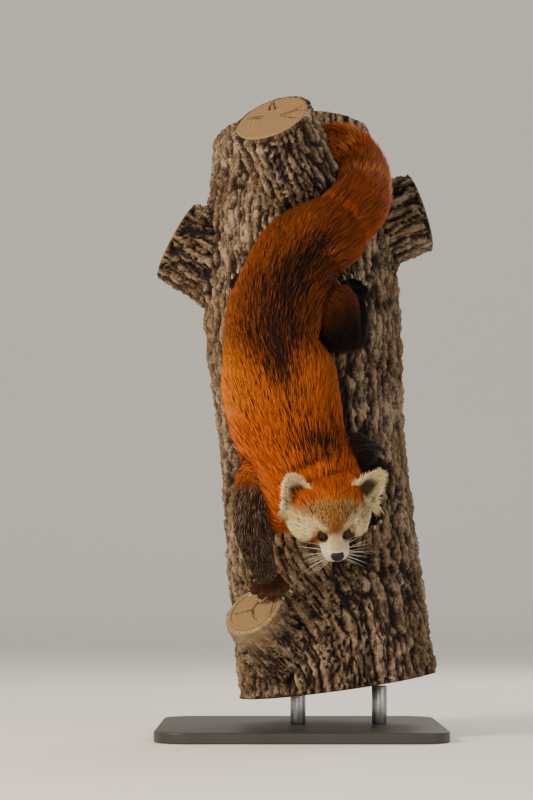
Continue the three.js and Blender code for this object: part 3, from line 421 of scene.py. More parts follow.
# ---- Skin -----------------------------------------------------------------------------------------------
# The real piece is a tanned skin over a carved form: one surface from the muzzle to the tip of the tail.
# It is lofted along the same spines as the CAD, inside it by the coat's depth, and carries the markings.
MM = 0.001
BODY = {
    "spine": [(14, -224, 900), (-16, -244, 830), (-44, -258, 752), (-52, -262, 690), (-38, -263, 615),
              (-24, -262, 545), (-8, -260, 490), (12, -258, 442), (28, -256, 404), (40, -258, 376)],
    "girth": [(62, 58), (84, 76), (88, 80), (89, 83), (105, 88), (102, 88), (99, 82), (97, 66), (88, 50), (66, 38)],
    "cap": (44, 36), "coat": 15,
}
TAIL = {
    "spine": [(-6, -222, 862), (34, -226, 884), (68, -222, 914), (97, -203, 948), (110, -170, 988), (105, -138, 1032),
              (82, -132, 1062), (50, -140, 1069), (24, -143, 1056)],
    "girth": [(72, 60), (72, 60), (66, 58), (60, 54), (55, 51), (52, 46), (48, 42), (41, 34), (28, 24)],
    "cap": (40, 24), "coat": 14,
}
LEGS = {
    "fore_right_upper": ([(-52, -252, 505), (-78, -262, 460), (-87, -276, 405), (-86, -277, 370)],
                         [(44, 46), (38, 41), (33, 37), (28, 31)]),
    "fore_right_lower": ([(-82, -272, 430), (-87, -278, 384), (-78, -257, 335), (-64, -224, 296)],
                         [(31, 35), (31, 34), (29, 30), (24, 22)]),
    "fore_left_upper": ([(40, -246, 500), (80, -242, 508), (108, -226, 500), (117, -214, 486)],
                        [(44, 44), (37, 38), (31, 33), (28, 30)]),
    "fore_left_lower": ([(104, -228, 502), (120, -210, 474), (122, -188, 442), (119, -177, 422)],
                        [(29, 31), (29, 29), (25, 23), (21, 19)]),
    "hind_right_upper": ([(-40, -238, 800), (-76, -240, 776), (-97, -226, 742), (-104, -206, 722)],
                         [(54, 56), (50, 52), (38, 40), (28, 30)]),
    "hind_right_lower": ([(-106, -206, 722), (-108, -190, 748), (-105, -174, 776), (-103, -168, 792)],
                         [(27, 27), (26, 24), (24, 22), (22, 20)]),
    "hind_left_upper": ([(24, -236, 800), (52, -240, 756), (70, -230, 716), (80, -214, 690)],
                        [(54, 56), (50, 52), (38, 40), (27, 30)]),
    "hind_left_lower": ([(82, -214, 694), (92, -198, 722), (95, -183, 756), (93, -178, 780)],
                        [(25, 27), (27, 26), (26, 24), (24, 21)]),
}
PAWS = {  # the wrist, the ways that the toes point and the paw's back faces, and degrees between toes
    "fore_right": ((-59, -213, 290), (0.12, 0.52, -0.85), (-0.1, -0.92, 0.2), 19),
    "fore_left": ((119, -177, 424), (-0.06, 0.2, -1), (0.5, -0.8, 0), 14),
    "hind_right": ((-103, -168, 788), (0.08, 0.02, 1), (-0.55, -0.8, 0), 13),
    "hind_left": ((93, -178, 774), (-0.05, 0.02, 1), (0.45, -0.88, 0), 13),
}
TOE = {"length": 28.5}


def paw_axes(toward, back):
    ahead = unit(np.array(toward, float))
    top = unit(np.array(back, float) - ahead * (np.array(back) @ ahead))
    return ahead, top, np.cross(ahead, top)


def toes(name):
    """Five toes in a fan: the points of each, from its knuckle, and the way it points."""
    wrist, toward, back, spread = PAWS[name]
    ahead, top, side = paw_axes(toward, back)
    for n in (-2, -1, 0, 1, 2):
        angle = math.radians(n * spread)
        way = ahead * math.cos(angle) + side * math.sin(angle)
        knuckle = np.array(wrist) + way * (18 - 2.2 * n * n) + side * n * 4.5
        yield [knuckle, knuckle + way * TOE["length"] * 0.55 + top * 3.5, knuckle + way * TOE["length"] - top * 1.5], way, top


def rounded(shape, points, girth, back=OUTWARD, sides=32, rings=32, cap=None, less=0.0):
    """A form along a spine, rounded off at both ends and smaller all round by less, in millimetres."""
    ball = bmesh.ops.create_uvsphere(shape, u_segments=sides, v_segments=rings, radius=1.0)["verts"]
    flat = np.array([v.co for v in ball])
    length = stations(points, girth, np.array([0.0]), np.array(back, float))[5] * 1000 - 2 * less
    small = [[max(g - less, 0.3 * g) for g in pair] for pair in girth]
    ends = [max(c - less, 2) for c in (cap or [sum(girth[0]) / 2, sum(girth[-1]) / 2])]
    quarter = math.pi / 2
    straight = max(length - sum(ends), 0)
    meridian = quarter * ends[0] + straight + quarter * ends[1]
    way = np.arccos(np.clip(flat[:, 2], -1, 1)) / math.pi * meridian
    start, end = way < quarter * ends[0], way > quarter * ends[0] + straight
    left = (meridian - way) / ends[1]
    share = np.where(start, np.sin(way / ends[0]), np.where(end, np.sin(left), 1.0))
    run = np.where(start, ends[0] * (1 - np.cos(way / ends[0])),
                   np.where(end, length - ends[1] * (1 - np.cos(left)), ends[0] + way - quarter * ends[0]))
    whole = length + 2 * less
    middle, _, side, depth, wide, _ = stations(points, small, (run + less) / whole, np.array(back, float))
    round_it = unit(flat[:, :2] + 1e-9)
    at = middle + side * (round_it[:, :1] * wide[:, :1] * share[:, None]) + depth * (round_it[:, 1:] * wide[:, 1:2] * share[:, None])
    for vert, there in zip(ball, at):
        vert.co = there
    return ball


flesh = bmesh.new()
rounded(flesh, BODY["spine"], BODY["girth"], cap=BODY["cap"], less=BODY["coat"], sides=48, rings=64)
rounded(flesh, TAIL["spine"], [[0.76 * g for g in pair] for pair in TAIL["girth"]], cap=TAIL["cap"], less=1, rings=56)
RUMP = ([(-36, -252, 790), (-4, -236, 852), (42, -232, 890), (74, -222, 920)], [(78, 72), (76, 68), (68, 60), (58, 50)])  # joins back and tail
rounded(flesh, *RUMP, cap=(30, 30), less=10)
NAPE = ([(-6, -262, 500), (10, -272, 462), (26, -284, 436), (40, -290, 412)], [(66, 46), (58, 46), (44, 44), (34, 38)])
rounded(flesh, *NAPE, cap=(30, 30))  # joins back and head
feet = bmesh.new()
for name, (points, girth) in LEGS.items():
    rounded(flesh, points, girth, less=9 if name.endswith("upper") else 6)
for name, (wrist, toward, back, _) in PAWS.items():
    ahead, top, side = paw_axes(toward, back)
    palm = [np.array(wrist) - ahead * 10, np.array(wrist) + ahead * 14, np.array(wrist) + ahead * 34 - top]
    rounded(feet, palm, [(21, 18), (25, 17), (20, 11)], back=top, less=2)
    leg, leg_girth = LEGS[f"{name}_lower"]  # the shin runs on into the palm
    rounded(feet, [*leg[1:], tuple(np.array(wrist) + ahead * 12)], [*leg_girth[1:], (21, 17)], less=6)
    for points, way, _ in toes(name):
        rounded(feet, points, [(8, 8), (8.6, 8.2), (6.8, 6.4)], back=top, cap=(5, 6), less=1.2, sides=16, rings=16)
body_skin = remeshed(flesh, 0.0038, 14)
foot_skin = remeshed(feet, 0.0021, 4)

# The head is measured in its own axes: ahead to the nose, up to the crown, left to the animal's left.
HEAD = {"pitch": 50, "yaw": 12, "roll": 4, "centre": (45, -296, 404)}
MASSES = [  # middle and radii of the masses, along ahead, up and left; those off the middle come in pairs
    ((-6, 8, 0), (58, 50, 57)), ((28, 12, 0), (35, 30, 34)), ((4, -17, 37), (42, 33, 34)),
    ((40, -12, 19), (24, 20, 18)), ((64, -16, 0), (27, 17, 20)), ((75, -22, 9), (16, 12, 13)),
    ((70, -8, 0), (23, 10, 10)), ((60, -31, 0), (26, 12, 16)),
]
BLEND = 13
HEART = np.array([18.0, -6.0, 0.0])
EYE = {"at": (55.5, -2.5, 18.8), "radius": 8.3, "gaze": (0.8, 0.16, 0.58), "half_length": 7.3, "rise": 5.9, "fall": 5.3}
MOUTH = [(47, -25, -24), (60, -29, -18), (73, -29, -11), (83, -27, -4), (85, -26, 0), (83, -27, 4), (73, -29, 11),
         (60, -29, 18), (47, -25, 24)]


def head_axes():
    pitch, yaw, roll = (math.radians(HEAD[k]) for k in ("pitch", "yaw", "roll"))
    level = np.array([0, -math.cos(pitch), -math.sin(pitch)])
    up = np.array([0, -math.sin(pitch), math.cos(pitch)])
    across = np.array([1.0, 0, 0])
    ahead = level * math.cos(yaw) + across * math.sin(yaw)
    left = across * math.cos(yaw) - level * math.sin(yaw)
    tip = np.array([[math.cos(roll), 0, math.sin(roll)], [0, 1, 0], [-math.sin(roll), 0, math.cos(roll)]])
    return np.stack([tip @ ahead, tip @ up, tip @ left])


AXES = head_axes()


def from_head(p):
    """Millimetres in the head's axes as metres in the frame."""
    return (np.asarray(p, float) @ AXES + np.array(HEAD["centre"])) * MM


def to_head(p):
    """Metres in the frame as millimetres in the head's axes."""
    return (np.asarray(p, float) / MM - np.array(HEAD["centre"])) @ AXES.T


def head_gap(p):
    """How far points in the head's axes are outside the head's form."""
    folded = np.stack([p[..., 0], p[..., 1], np.abs(p[..., 2])], -1)
    whole = np.full(p.shape[:-1], 1e3)
    for at, size in MASSES:
        q = (folded - np.array(at)) / np.array(size)
        near = np.linalg.norm(q, axis=-1)
        slope = np.linalg.norm(q / np.array(size), axis=-1)
        gap = near * (near - 1) / np.maximum(slope, 1e-9)
        soft = np.maximum(BLEND - np.abs(whole - gap), 0) / BLEND
        whole = np.minimum(whole, gap) - soft**2 * BLEND / 4
    return whole


def on_head(way, less=0.0):
    """Points of the head's surface along ways from its heart, inside it by less."""
    reach = np.arange(130, 0, -2.0)
    inside = head_gap(HEART + way[:, None] * reach[None, :, None]) < -np.asarray(less).reshape(-1, 1)
    low = reach[np.argmax(inside, axis=1)]
    high = low + 2
    for _ in range(12):
        middle = (low + high) / 2
        within = head_gap(HEART + way * middle[:, None]) < -np.asarray(less)
        low, high = np.where(within, middle, low), np.where(within, high, middle)
    return HEART + way * low[:, None]


def eye_sight(p, side):
    """Places round an eye, across, above and ahead of its middle, and the almond measure, 1 at the lids' edge."""
    gaze = unit(np.array(EYE["gaze"]) * (1, 1, side))
    across = unit(np.array([-0.58, 0, 0.8 * side]))
    above = np.cross(gaze, across)
    above = above if above[1] > 0 else -above
    off = p - np.array(EYE["at"]) * (1, 1, side)
    x, y, z = off @ across, off @ above, off @ gaze
    tall = np.where(y > 0, EYE["rise"], EYE["fall"])
    rho = np.sqrt((x / EYE["half_length"]) ** 2 + (y / tall) ** 2)
    return x, y, z, np.where(z > 0, rho, 9.0), gaze


def face_depth(p):
    """How deep the coat is on the head: thin on the muzzle and round the eyes, thick on the cheeks."""
    cheek = ease(30, 55, np.abs(p[:, 2])) * ease(40, 0, p[:, 0])
    return 1.3 + 4.2 * ease(58, 15, p[:, 0]) + 4 * cheek


MARKS = ("part", "ear_v", "ear_x", "ear_z")  # 1 on the head, 2 and 3 on the ears, and places on an ear's shell
skull = bmesh.new()
marked = [skull.verts.layers.float.new(name) for name in MARKS]
ball = bmesh.ops.create_uvsphere(skull, u_segments=190, v_segments=140, radius=1.0)["verts"]
flat = np.array([v.co for v in ball])
spread = math.pi * (np.arccos(np.clip(flat[:, 2], -1, 1)) / math.pi) ** 1.35  # finer towards the muzzle
round_it = unit(flat[:, :2] + 1e-9)
way = np.stack([np.cos(spread), np.sin(spread) * round_it[:, 0], np.sin(spread) * round_it[:, 1]], 1)
outer = on_head(way)
skin_at = on_head(way, face_depth(outer))
lips = spline([on_head(unit(np.array([m], float) - HEART))[0] for m in MOUTH], np.linspace(0, 1, 140))
to_lips = np.sqrt(((skin_at[:, None] - lips[None]) ** 2).sum(2)).min(1)
skin_at += way * (-1.7 * np.exp(-((to_lips / 1.3) ** 2)) + 0.8 * np.exp(-(((to_lips - 3.4) / 1.8) ** 2)))[:, None]
for side in (-1, 1):
    x, y, z, rho, gaze = eye_sight(skin_at, side)
    across2 = x * x + y * y
    under = np.sqrt(np.maximum(EYE["radius"] ** 2 - across2, 4)) - 2.2
    over = np.sqrt(np.maximum((EYE["radius"] + 1.5) ** 2 - across2, 9))
    lid = under + (over - under) * ease(0.96, 1.10, rho)
    aim = lid + (z - lid) * ease(1.35, 2.3, rho)
    fold = -0.9 * np.exp(-(((rho - 1.62) / 0.12) ** 2)) * (y > 0)  # the crease above the upper lid
    skin_at += gaze * np.where(rho < 2.3, aim - z + fold, 0)[:, None]
for vert, there in zip(ball, from_head(skin_at)):
    vert.co = there
    vert[marked[0]] = 1

EARS = {
    "right": {"base": (-1, 15, -47), "axis": (-0.4, 0.8, -0.25), "face": (0.86, 0.34, -0.3)},
    "left": {"base": (-2, 18, 53), "axis": (-0.35, 0.7, 0.55), "face": (0.85, 0.4, 0.25)},
}
EAR = {"length": 76, "sunk": 14, "half_width": 34, "thickness": 4.6, "cup": 15}


def ear_axes(ear):
    tip = unit(np.array(ear["axis"]))
    front = unit(np.array(ear["face"]) - tip * (np.array(ear["face"]) @ tip))
    return tip, front, np.cross(tip, front)


def ear_place(ear, v, x, z, around):
    """A point of an ear's shell: v from root to tip, x across it, z through it."""
    tip, front, across = ear_axes(ear)
    outline = EAR["half_width"] * np.minimum(1, v / 0.1) ** 0.5 * (1 - v) ** 0.52
    hollow = EAR["cup"] * (1 - v) ** 0.7 * (1 - x * x) * np.minimum(1, v / 0.3)
    along = EAR["length"] * v
    deep = z * 0.5 * EAR["thickness"] * np.minimum(1, around * 2.5) - hollow + 0.1 * along * v
    q = np.array(ear["base"]) + np.outer(along - EAR["sunk"], tip) + np.outer(x * outline, across) + np.outer(deep, front)
    return from_head(q)


for number, ear in enumerate(EARS.values()):
    shell = bmesh.ops.create_uvsphere(skull, u_segments=44, v_segments=36, radius=1.0)["verts"]
    flat = np.array([v.co for v in shell])
    around = np.hypot(flat[:, 0], flat[:, 1])
    round_it = np.where(around[:, None] < 1e-6, 0, flat[:, :2] / np.maximum(around, 1e-9)[:, None])
    v = np.clip((1 - flat[:, 2]) / 2, 0, 1)
    for vert, there, at_v, (at_x, at_z) in zip(shell, ear_place(ear, v, *round_it.T, around), v, round_it):
        vert.co = there
        for mark, value in zip(marked, (2 + number, at_v, at_x, at_z)):
            vert[mark] = value
bmesh.ops.recalc_face_normals(skull, faces=skull.faces)
whole_skin = bmesh.new()
for mesh in (body_skin, foot_skin):
    for name in MARKS:
        mesh.attributes.new(name, "FLOAT", "POINT")
    whole_skin.from_mesh(mesh)
print("skin faces", len(body_skin.polygons), len(foot_skin.polygons))
head_mesh = bpy.data.meshes.new("head")
skull.to_mesh(head_mesh)
skull.free()
whole_skin.from_mesh(head_mesh)
skin = bpy.data.meshes.new("skin")
whole_skin.to_mesh(skin)
whole_skin.free()
bpy.data.meshes.remove(head_mesh)
bpy.data.meshes.remove(body_skin)
bpy.data.meshes.remove(foot_skin)

# Which part of the animal each point is on, and how far along it: the spines carry the lie and the markings.
PARTS = {"body": (BODY["spine"], BODY["girth"]), "tail": (TAIL["spine"], TAIL["girth"]), **LEGS}
for name, (wrist, toward, back, _) in PAWS.items():
    ahead, top, side = paw_axes(toward, back)
    PARTS[f"{name}_paw"] = ([np.array(wrist) - ahead * 6, np.array(wrist) + ahead * 20, np.array(wrist) + ahead * 50],
                            [(22, 18), (25, 17), (22, 12)])
NAMES = list(PARTS)


def parts_at(p):
    """Weight of each part at points of the body, share along each part, and the lie of the coat there."""
    weights, shares, lies, tops = [], [], [], []
    for name, (points, girth) in PARTS.items():
        middle, tangent, side, depth, wide, _ = stations(points, girth, np.linspace(0.03, 0.97, 36))
        size = wide[:, :2].mean(1)
        gap = np.sqrt(((p[:, None, :] - middle[None]) ** 2).sum(2)) / size[None]
        near = gap.argmin(1)
        off = p - middle[near]
        weights.append(gap.min(1))
        shares.append(0.03 + 0.94 * near / 35)
        lies.append(tangent[near] * (-1 if name == "body" else 1))
        tops.append((unit(off) * depth[near]).sum(1))
    weights = np.exp(-14 * (np.stack(weights) - np.min(weights, axis=0)))
    weights /= weights.sum(0)
    lie = unit((weights[:, :, None] * np.stack(lies)).sum(0))
    return weights, np.stack(shares), lie, np.stack(tops)


def rgb(code):
    return np.array(paint(code)[:3])


def blend(a, b, share):
    return a + (b - a) * np.asarray(share)[:, None]


# The colours of the coat, as seen in plain light, but for the honey, which is painted sunlight on the lit flank.
COAT = {key: rgb(code) for key, code in {
    "orange": "b25c10", "ember": "b4560c", "painted_sunlit_honey": "c8741a", "umber": "66300e", "dark": "2c140a", "rust": "a04a10",
    "ring": "c98143", "brown": "38200f", "black": "150d08", "frost": "86715f", "toe": "6f4c35", "tan": "a8854c",
    "cream": "dccb9c", "white": "e2d8bd", "tear": "6a300c", "fox": "a2591a", "ear_dark": "453f28", "rim": "140c07",
}.items()}
DORSAL = [(75, 903), (14, 842), (-30, 772), (-44, 702), (-40, 632), (-22, 580), (14, 527), (26, 500)]  # X, Z in mm
TAIL_RINGS = [(0.50, 0.025, 0.9), (0.63, 0.02, 0.35), (0.77, 0.025, 0.6), (0.88, 0.02, 0.4)]  # share, width, strength


def body_markings(p, weights, shares, tops):
    """Colour, chance of a dark fleck and the fleck's colour, for points of the body."""
    part = dict(zip(NAMES, weights))
    share = dict(zip(NAMES, shares))
    top = dict(zip(NAMES, tops))
    x, z = p[:, 0] / MM, p[:, 2] / MM
    line = spline([(a, 0, b) for a, b in DORSAL], np.linspace(0, 1, 80))
    gap = np.sqrt((x[:, None] - line[None, :, 0]) ** 2 + (z[:, None] - line[None, :, 2]) ** 2)
    aside = gap.min(1)
    stretch = ease(560, 640, z) * ease(930, 850, z)
    wide = 26 + 28 * ease(600, 690, z) * ease(860, 760, z)
    dark = np.exp(-((aside / wide) ** 2)) * (0.25 + 0.75 * stretch) * ease(480, 560, z)
    withers = np.exp(-(((x - 28) / 44) ** 2 + ((z - 505) / 26) ** 2))
    dark = np.maximum(dark, 0.85 * withers)
    colour = np.tile(COAT["orange"], (len(p), 1))
    colour = blend(colour, COAT["ember"], ease(620, 500, z))
    # Painted light: honey on the flank towards the key light, where the sun fell.
    colour = blend(colour, COAT["painted_sunlit_honey"], 0.75 * ease(-60, -125, x) * ease(520, 560, z) * ease(700, 640, z))
    colour = blend(colour, COAT["umber"], 0.55 * ease(600, 710, z))
    # Painted shade: umber over the side away from the key light, from the shoulders back.
    colour = blend(colour, COAT["umber"], 0.30 * ease(20, 80, x) * ease(480, 560, z))
    fleck = 0.10 + 0.80 * dark
    colour = blend(colour, COAT["umber"], 0.55 * dark)
    belly = ease(0.1, -0.35, top["body"])
    colour = blend(colour, COAT["black"], belly)
    mixed = colour * part["body"][:, None]
    fleck = fleck * part["body"]
    u = share["tail"]
    tail = blend(np.tile(COAT["rust"], (len(p), 1)), COAT["umber"], 0.55 * ease(0.45, 0.15, u) * ease(-0.2, 0.6, top["tail"]))
    for place, width, strength in TAIL_RINGS:
        tail = blend(tail, COAT["ring"], strength * np.exp(-(((u - place) / width) ** 2)))
    tail = blend(tail, COAT["brown"], 0.6 * ease(0.93, 1.0, u))
    mixed += tail * part["tail"][:, None]
    fleck += 0.16 * part["tail"]
    for name in NAMES[2:]:
        black = np.tile(COAT["black"], (len(p), 1))
        # The right thigh is partly its own rust and partly painted sunlight: it is orange, where the left one starts at
        # dark umber.
        if name == "hind_right_upper":
            limb = blend(np.tile(COAT["orange"], (len(p), 1)), COAT["umber"], 0.35 + 0.65 * ease(0.55, 0.9, share[name]))
        elif name == "hind_left_upper":
            limb = blend(np.tile(0.8 * COAT["umber"], (len(p), 1)), COAT["black"], ease(0.2, 0.55, share[name]))
        elif name == "fore_right_upper":
            limb = blend(np.tile(COAT["ember"], (len(p), 1)), COAT["brown"], ease(478, 440, z))
        elif name == "fore_left_upper":
            limb = blend(np.tile(COAT["umber"], (len(p), 1)), COAT["black"], ease(0.1, 0.4, share[name]))
        elif name == "fore_right_lower":
            limb = np.tile(0.45 * COAT["brown"] + 0.55 * COAT["black"], (len(p), 1))
        elif name == "fore_right_paw":
            limb = blend(np.tile(COAT["brown"], (len(p), 1)), COAT["toe"], ease(0.2, 0.6, share[name]))
        else:
            limb = black
        mixed += limb * part[name][:, None]
        fleck += (0.28 if "fore_right" in name else 0.05) * part[name]
    frosted = part["fore_right_lower"] + part["fore_right_upper"] * ease(478, 440, z)
    flecked = blend(np.tile(COAT["dark"], (len(p), 1)), COAT["frost"], frosted)
    return mixed, np.clip(fleck, 0, 1), flecked


def spot(p, at, radii):
    """1 in the middle of a soft patch on both sides of the head, falling to 0 round it."""
    q = (np.stack([p[:, 0], p[:, 1], np.abs(p[:, 2])], 1) - np.array(at)) / np.array(radii)
    return np.exp(-((q**2).sum(1)))


def streak(p, start, end, radius):
    """The same along a line between two places."""
    q = np.stack([p[:, 0], p[:, 1], np.abs(p[:, 2])], 1)
    a, b = np.array(start, float), np.array(end, float)
    t = np.clip(((q - a) @ (b - a)) / ((b - a) @ (b - a)), 0, 1)
    return np.exp(-(np.linalg.norm(q - a - t[:, None] * (b - a), axis=1) / radius) ** 2)


def head_markings(q):
    """The same for points of the head, in its own axes."""
    a, b, c = q[:, 0], q[:, 1], np.abs(q[:, 2])
    colour = np.tile(COAT["tan"], (len(q), 1))
    fleck = np.full(len(q), 0.42)
    crown = ease(36, 22, a + 0.15 * c) * ease(-8, 14, b)
    cheek = ease(22, 38, c) * ease(22, 4, b)
    colour = blend(colour, COAT["cream"], 0.9 * cheek)
    fleck *= 1 - 0.75 * cheek
    colour = blend(colour, COAT["cream"], 0.75 * streak(q, (58, 14, 17), (45, 18, 31), 7))
    muzzle = ease(58, 72, a) * ease(14, 2, b - 0.1 * c)
    colour = blend(colour, COAT["white"], 0.95 * muzzle)
    fleck *= 1 - np.maximum(muzzle, 0.7 * streak(q, (58, 14, 17), (45, 18, 31), 7))
    colour = blend(colour, COAT["tan"], 0.45 * ease(64, 74, a) * ease(-9, -3, b) * ease(13, 6, c))
    colour = blend(colour, COAT["fox"], 0.75 * streak(q, (44, 38, 0), (70, 8, 2), 5.5))
    colour = blend(colour, COAT["tear"], np.minimum(1.25 * streak(q, (59, -7, 29), (48, -29, 34), 7.0), 1))
    fleck *= 1 - 0.6 * streak(q, (59, -7, 29), (48, -29, 34), 7.0)
    colour = blend(colour, COAT["ember"], crown)
    fleck = blend(fleck[:, None], np.array([0.14]), crown)[:, 0]
    side = ease(10, -8, a) * ease(30, 46, c)
    colour = blend(colour, COAT["ember"], side * ease(-40, -10, b))
    throat = ease(-30, -42, b) * ease(52, 40, a)
    colour = blend(colour, COAT["brown"], throat)
    for way in (-1, 1):
        _, _, _, rho, _ = eye_sight(q, way)
        colour = blend(colour, COAT["rim"], ease(1.62, 1.25, rho))
        fleck *= ease(1.2, 2.0, rho)
    return colour, np.clip(fleck, 0, 1), np.tile(COAT["umber"] * 0.8, (len(q), 1))


def ear_markings(v, x, z):
    """Colour of an ear: cream, with a dark hollow in front and a brown back."""
    hollow = ease(0.72, 0.35, np.abs(x)) * ease(0.14, 0.25, v) * ease(0.78, 0.55, v) * (z > 0)
    behind = ease(0.8, 0.5, np.abs(x)) * ease(0.8, 0.5, v) * (z <= 0)
    colour = np.tile(COAT["cream"], (len(v), 1))
    colour = blend(colour, COAT["ear_dark"], hollow)
    return blend(colour, COAT["umber"], behind), np.full(len(v), 0.05), np.tile(COAT["umber"], (len(v), 1))


def mark_of(mesh, name):
    flat = np.empty(len(mesh.vertices))
    mesh.attributes[name].data.foreach_get("value", flat)
    return flat


at, out = places(skin), ways(skin)
part_at, ear_v, ear_x, ear_z = (mark_of(skin, name) for name in MARKS)
tint = np.zeros((len(at), 4))
tint[:, 3] = 1
body_of, head_of, ear_of = part_at < 0.5, np.abs(part_at - 1) < 0.5, part_at > 1.5
weights, shares, lie, tops = parts_at(at[body_of])
colour, fleck, flecked = body_markings(at[body_of], weights, shares, tops)
# Painted shade: the skin takes the markings darkened to 0.45 under the body's deep coat, and to 0.8 under the thin coat
# of the head and ears.
tint[body_of, :3] = blend(colour, flecked, fleck) * 0.45
in_head = to_head(at[head_of])
colour, fleck, flecked = head_markings(in_head)
near_lips = np.sqrt(((in_head[:, None] - lips[None]) ** 2).sum(2)).min(1)
colour = blend(colour, COAT["rim"], ease(2.0, 0.9, near_lips))
tint[head_of, :3] = blend(colour, flecked, fleck) * 0.8
tint[ear_of, :3] = ear_markings(ear_v[ear_of], ear_x[ear_of], ear_z[ear_of])[0] * 0.8
skin.attributes.new("coat", "FLOAT_COLOR", "POINT").data.foreach_set("color", tint.ravel())

# Hide: dyed leather under the coat, matt, with the markings' colours darkened as painted shade under the hair, and a
# fine nap of short hair.
hide, tree, surface = finish_of("dyed_hide_and_painted_shade", Roughness=0.85, Specular_IOR_Level=0.2)
where = add(tree, "ShaderNodeTexCoord").outputs["Object"]
marks = add(tree, "ShaderNodeAttribute", attribute_name="coat").outputs["Color"]
nap = add(tree, "ShaderNodeTexNoise", {"Vector": where, "Scale": 700.0, "Detail": 4.0})
tree.links.new(marks, surface.inputs["Base Color"])
relief = add(tree, "ShaderNodeBump", {"Height": nap.outputs["Fac"], "Strength": 0.6, "Distance": 0.0008})
tree.links.new(relief.outputs["Normal"], surface.inputs["Normal"])
FLESH = [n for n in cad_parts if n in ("torso", "neck", "head", "ear_right", "ear_left") or n.startswith("tail_")
         or n.endswith(("_upper", "_lower", "_paw"))]
hide_piece = piece("skin", skin, hide, nodes=FLESH)
bpy.context.view_layer.objects.active = hide_piece
hide_piece.select_set(True)
bpy.ops.object.mode_set(mode="EDIT")
bpy.ops.mesh.select_all(action="SELECT")
skin.uv_layers.new(name="OFBake") if not skin.uv_layers else None
bpy.ops.uv.smart_project(angle_limit=math.radians(70), island_margin=0.001)
bpy.ops.object.mode_set(mode="OBJECT")
skin = hide_piece.data
skin.uv_layers[0].name = "OFBake"

# ---- Coat -----------------------------------------------------------------------------------------------
# The real coat is guard hair over dense wool, 30 mm long on the back and 5 mm on the muzzle.
# Each tuft is a closed, tapered form rooted in the skin, lies along the coat and leans to its neighbours.
TUFTS = 144000
SIDES = 3

skin.calc_loop_triangles()
count = len(skin.loop_triangles)
corner = np.empty(count * 3, int)
skin.loop_triangles.foreach_get("vertices", corner)
corner = corner.reshape(-1, 3)
loops = np.empty(count * 3, int)
skin.loop_triangles.foreach_get("loops", loops)
loops = loops.reshape(-1, 3)
flat = np.empty(len(skin.loops) * 2)
skin.uv_layers["OFBake"].data.foreach_get("uv", flat)
uv = flat.reshape(-1, 2)
at, out = places(skin), ways(skin)
centre = at[corner].mean(1)
area = np.linalg.norm(np.cross(at[corner[:, 1]] - at[corner[:, 0]], at[corner[:, 2]] - at[corner[:, 0]]), axis=1) / 2
part_at, ear_v, ear_x, ear_z = (mark_of(skin, name) for name in MARKS)
kind = np.rint(part_at[corner[:, 0]]).astype(int)

# How thickly the tufts stand: finest on the face and feet, none under the body of another part.
middle_of = to_head(centre)
thick = np.ones(count)
body_tri = kind == 0
weights, shares, _, _ = parts_at(centre[body_tri])
feet = sum(weights[n] for n, name in enumerate(NAMES) if name.endswith("_paw"))
shins = sum(weights[n] for n, name in enumerate(NAMES) if name.endswith("_lower"))
thick[body_tri] = 1 + 3.6 * feet + 0.7 * shins
buried = head_gap(middle_of[body_tri]) < -9
thick[body_tri] *= ~buried
thick[kind == 1] = 2.6 + 3.4 * ease(20, 60, middle_of[kind == 1][:, 0])
thick[kind >= 2] = 3.0
eye_close = np.min([eye_sight(middle_of, side)[3] for side in (-1, 1)], axis=0)
thick[(kind == 1) & (eye_close < 1.22)] = 0
nose_close = np.linalg.norm((middle_of - (90.5, -17, 0)) / (10, 11, 12.5), axis=1)
thick[(kind == 1) & (nose_close < 1)] = 0
to_lips = np.sqrt(((middle_of[kind == 1][:, None] - lips[None]) ** 2).sum(2)).min(1)
thick[np.flatnonzero(kind == 1)[to_lips < 1.0]] = 0
deep_in_neck = (kind == 1) & (middle_of[:, 0] < -42)
thick[deep_in_neck] = 0

draw = np.random.default_rng(12)
total = np.cumsum(area * thick)
pick = np.searchsorted(total, (np.arange(TUFTS) + draw.uniform(0, 1, TUFTS)) / TUFTS * total[-1])
pick = np.minimum(pick, count - 1)
a, b = draw.uniform(0, 1, TUFTS), draw.uniform(0, 1, TUFTS)
over = a + b > 1
a, b = np.where(over, 1 - a, a), np.where(over, 1 - b, b)
share = np.stack([1 - a - b, a, b], 1)
root = (at[corner[pick]] * share[:, :, None]).sum(1)
normal = unit((out[corner[pick]] * share[:, :, None]).sum(1))
root_uv = (uv[loops[pick]] * share[:, :, None]).sum(1)
kind = kind[pick]

flow = np.zeros((TUFTS, 3))
length, rise, width = np.zeros(TUFTS), np.zeros(TUFTS), np.zeros(TUFTS)
shade_of, fleck, fleck_to = np.zeros((TUFTS, 3)), np.zeros(TUFTS), np.zeros((TUFTS, 3))

on_body = kind == 0
weights, shares, lie, tops = parts_at(root[on_body])
flow[on_body] = lie
HAIR = {"body": (30, 14, 1.6), "tail": (37, 14, 1.75), "_upper": (23, 9, 1.5), "_lower": (15, 6, 1.25), "_paw": (6.5, 1.7, 0.95)}
for n, name in enumerate(NAMES):
    look = next(v for k, v in HAIR.items() if name == k or name.endswith(k))
    length[on_body] += look[0] * weights[n]
    rise[on_body] += look[1] * weights[n]
    width[on_body] += look[2] * weights[n]
for n, name in enumerate(NAMES):
    if name.endswith("_lower"):  # the coat thins towards the foot
        wrist_near = weights[n] * ease(0.55, 1.0, shares[n])
        rise[on_body] *= 1 - 0.55 * wrist_near
        length[on_body] *= 1 - 0.35 * wrist_near
tip_of_tail = weights[1] * ease(0.7, 1.0, shares[1])
length[on_body] *= 1 - 0.3 * tip_of_tail
rise[on_body] *= 1 - 0.45 * tip_of_tail
shade_of[on_body], fleck[on_body], fleck_to[on_body] = body_markings(root[on_body], weights, shares, tops)

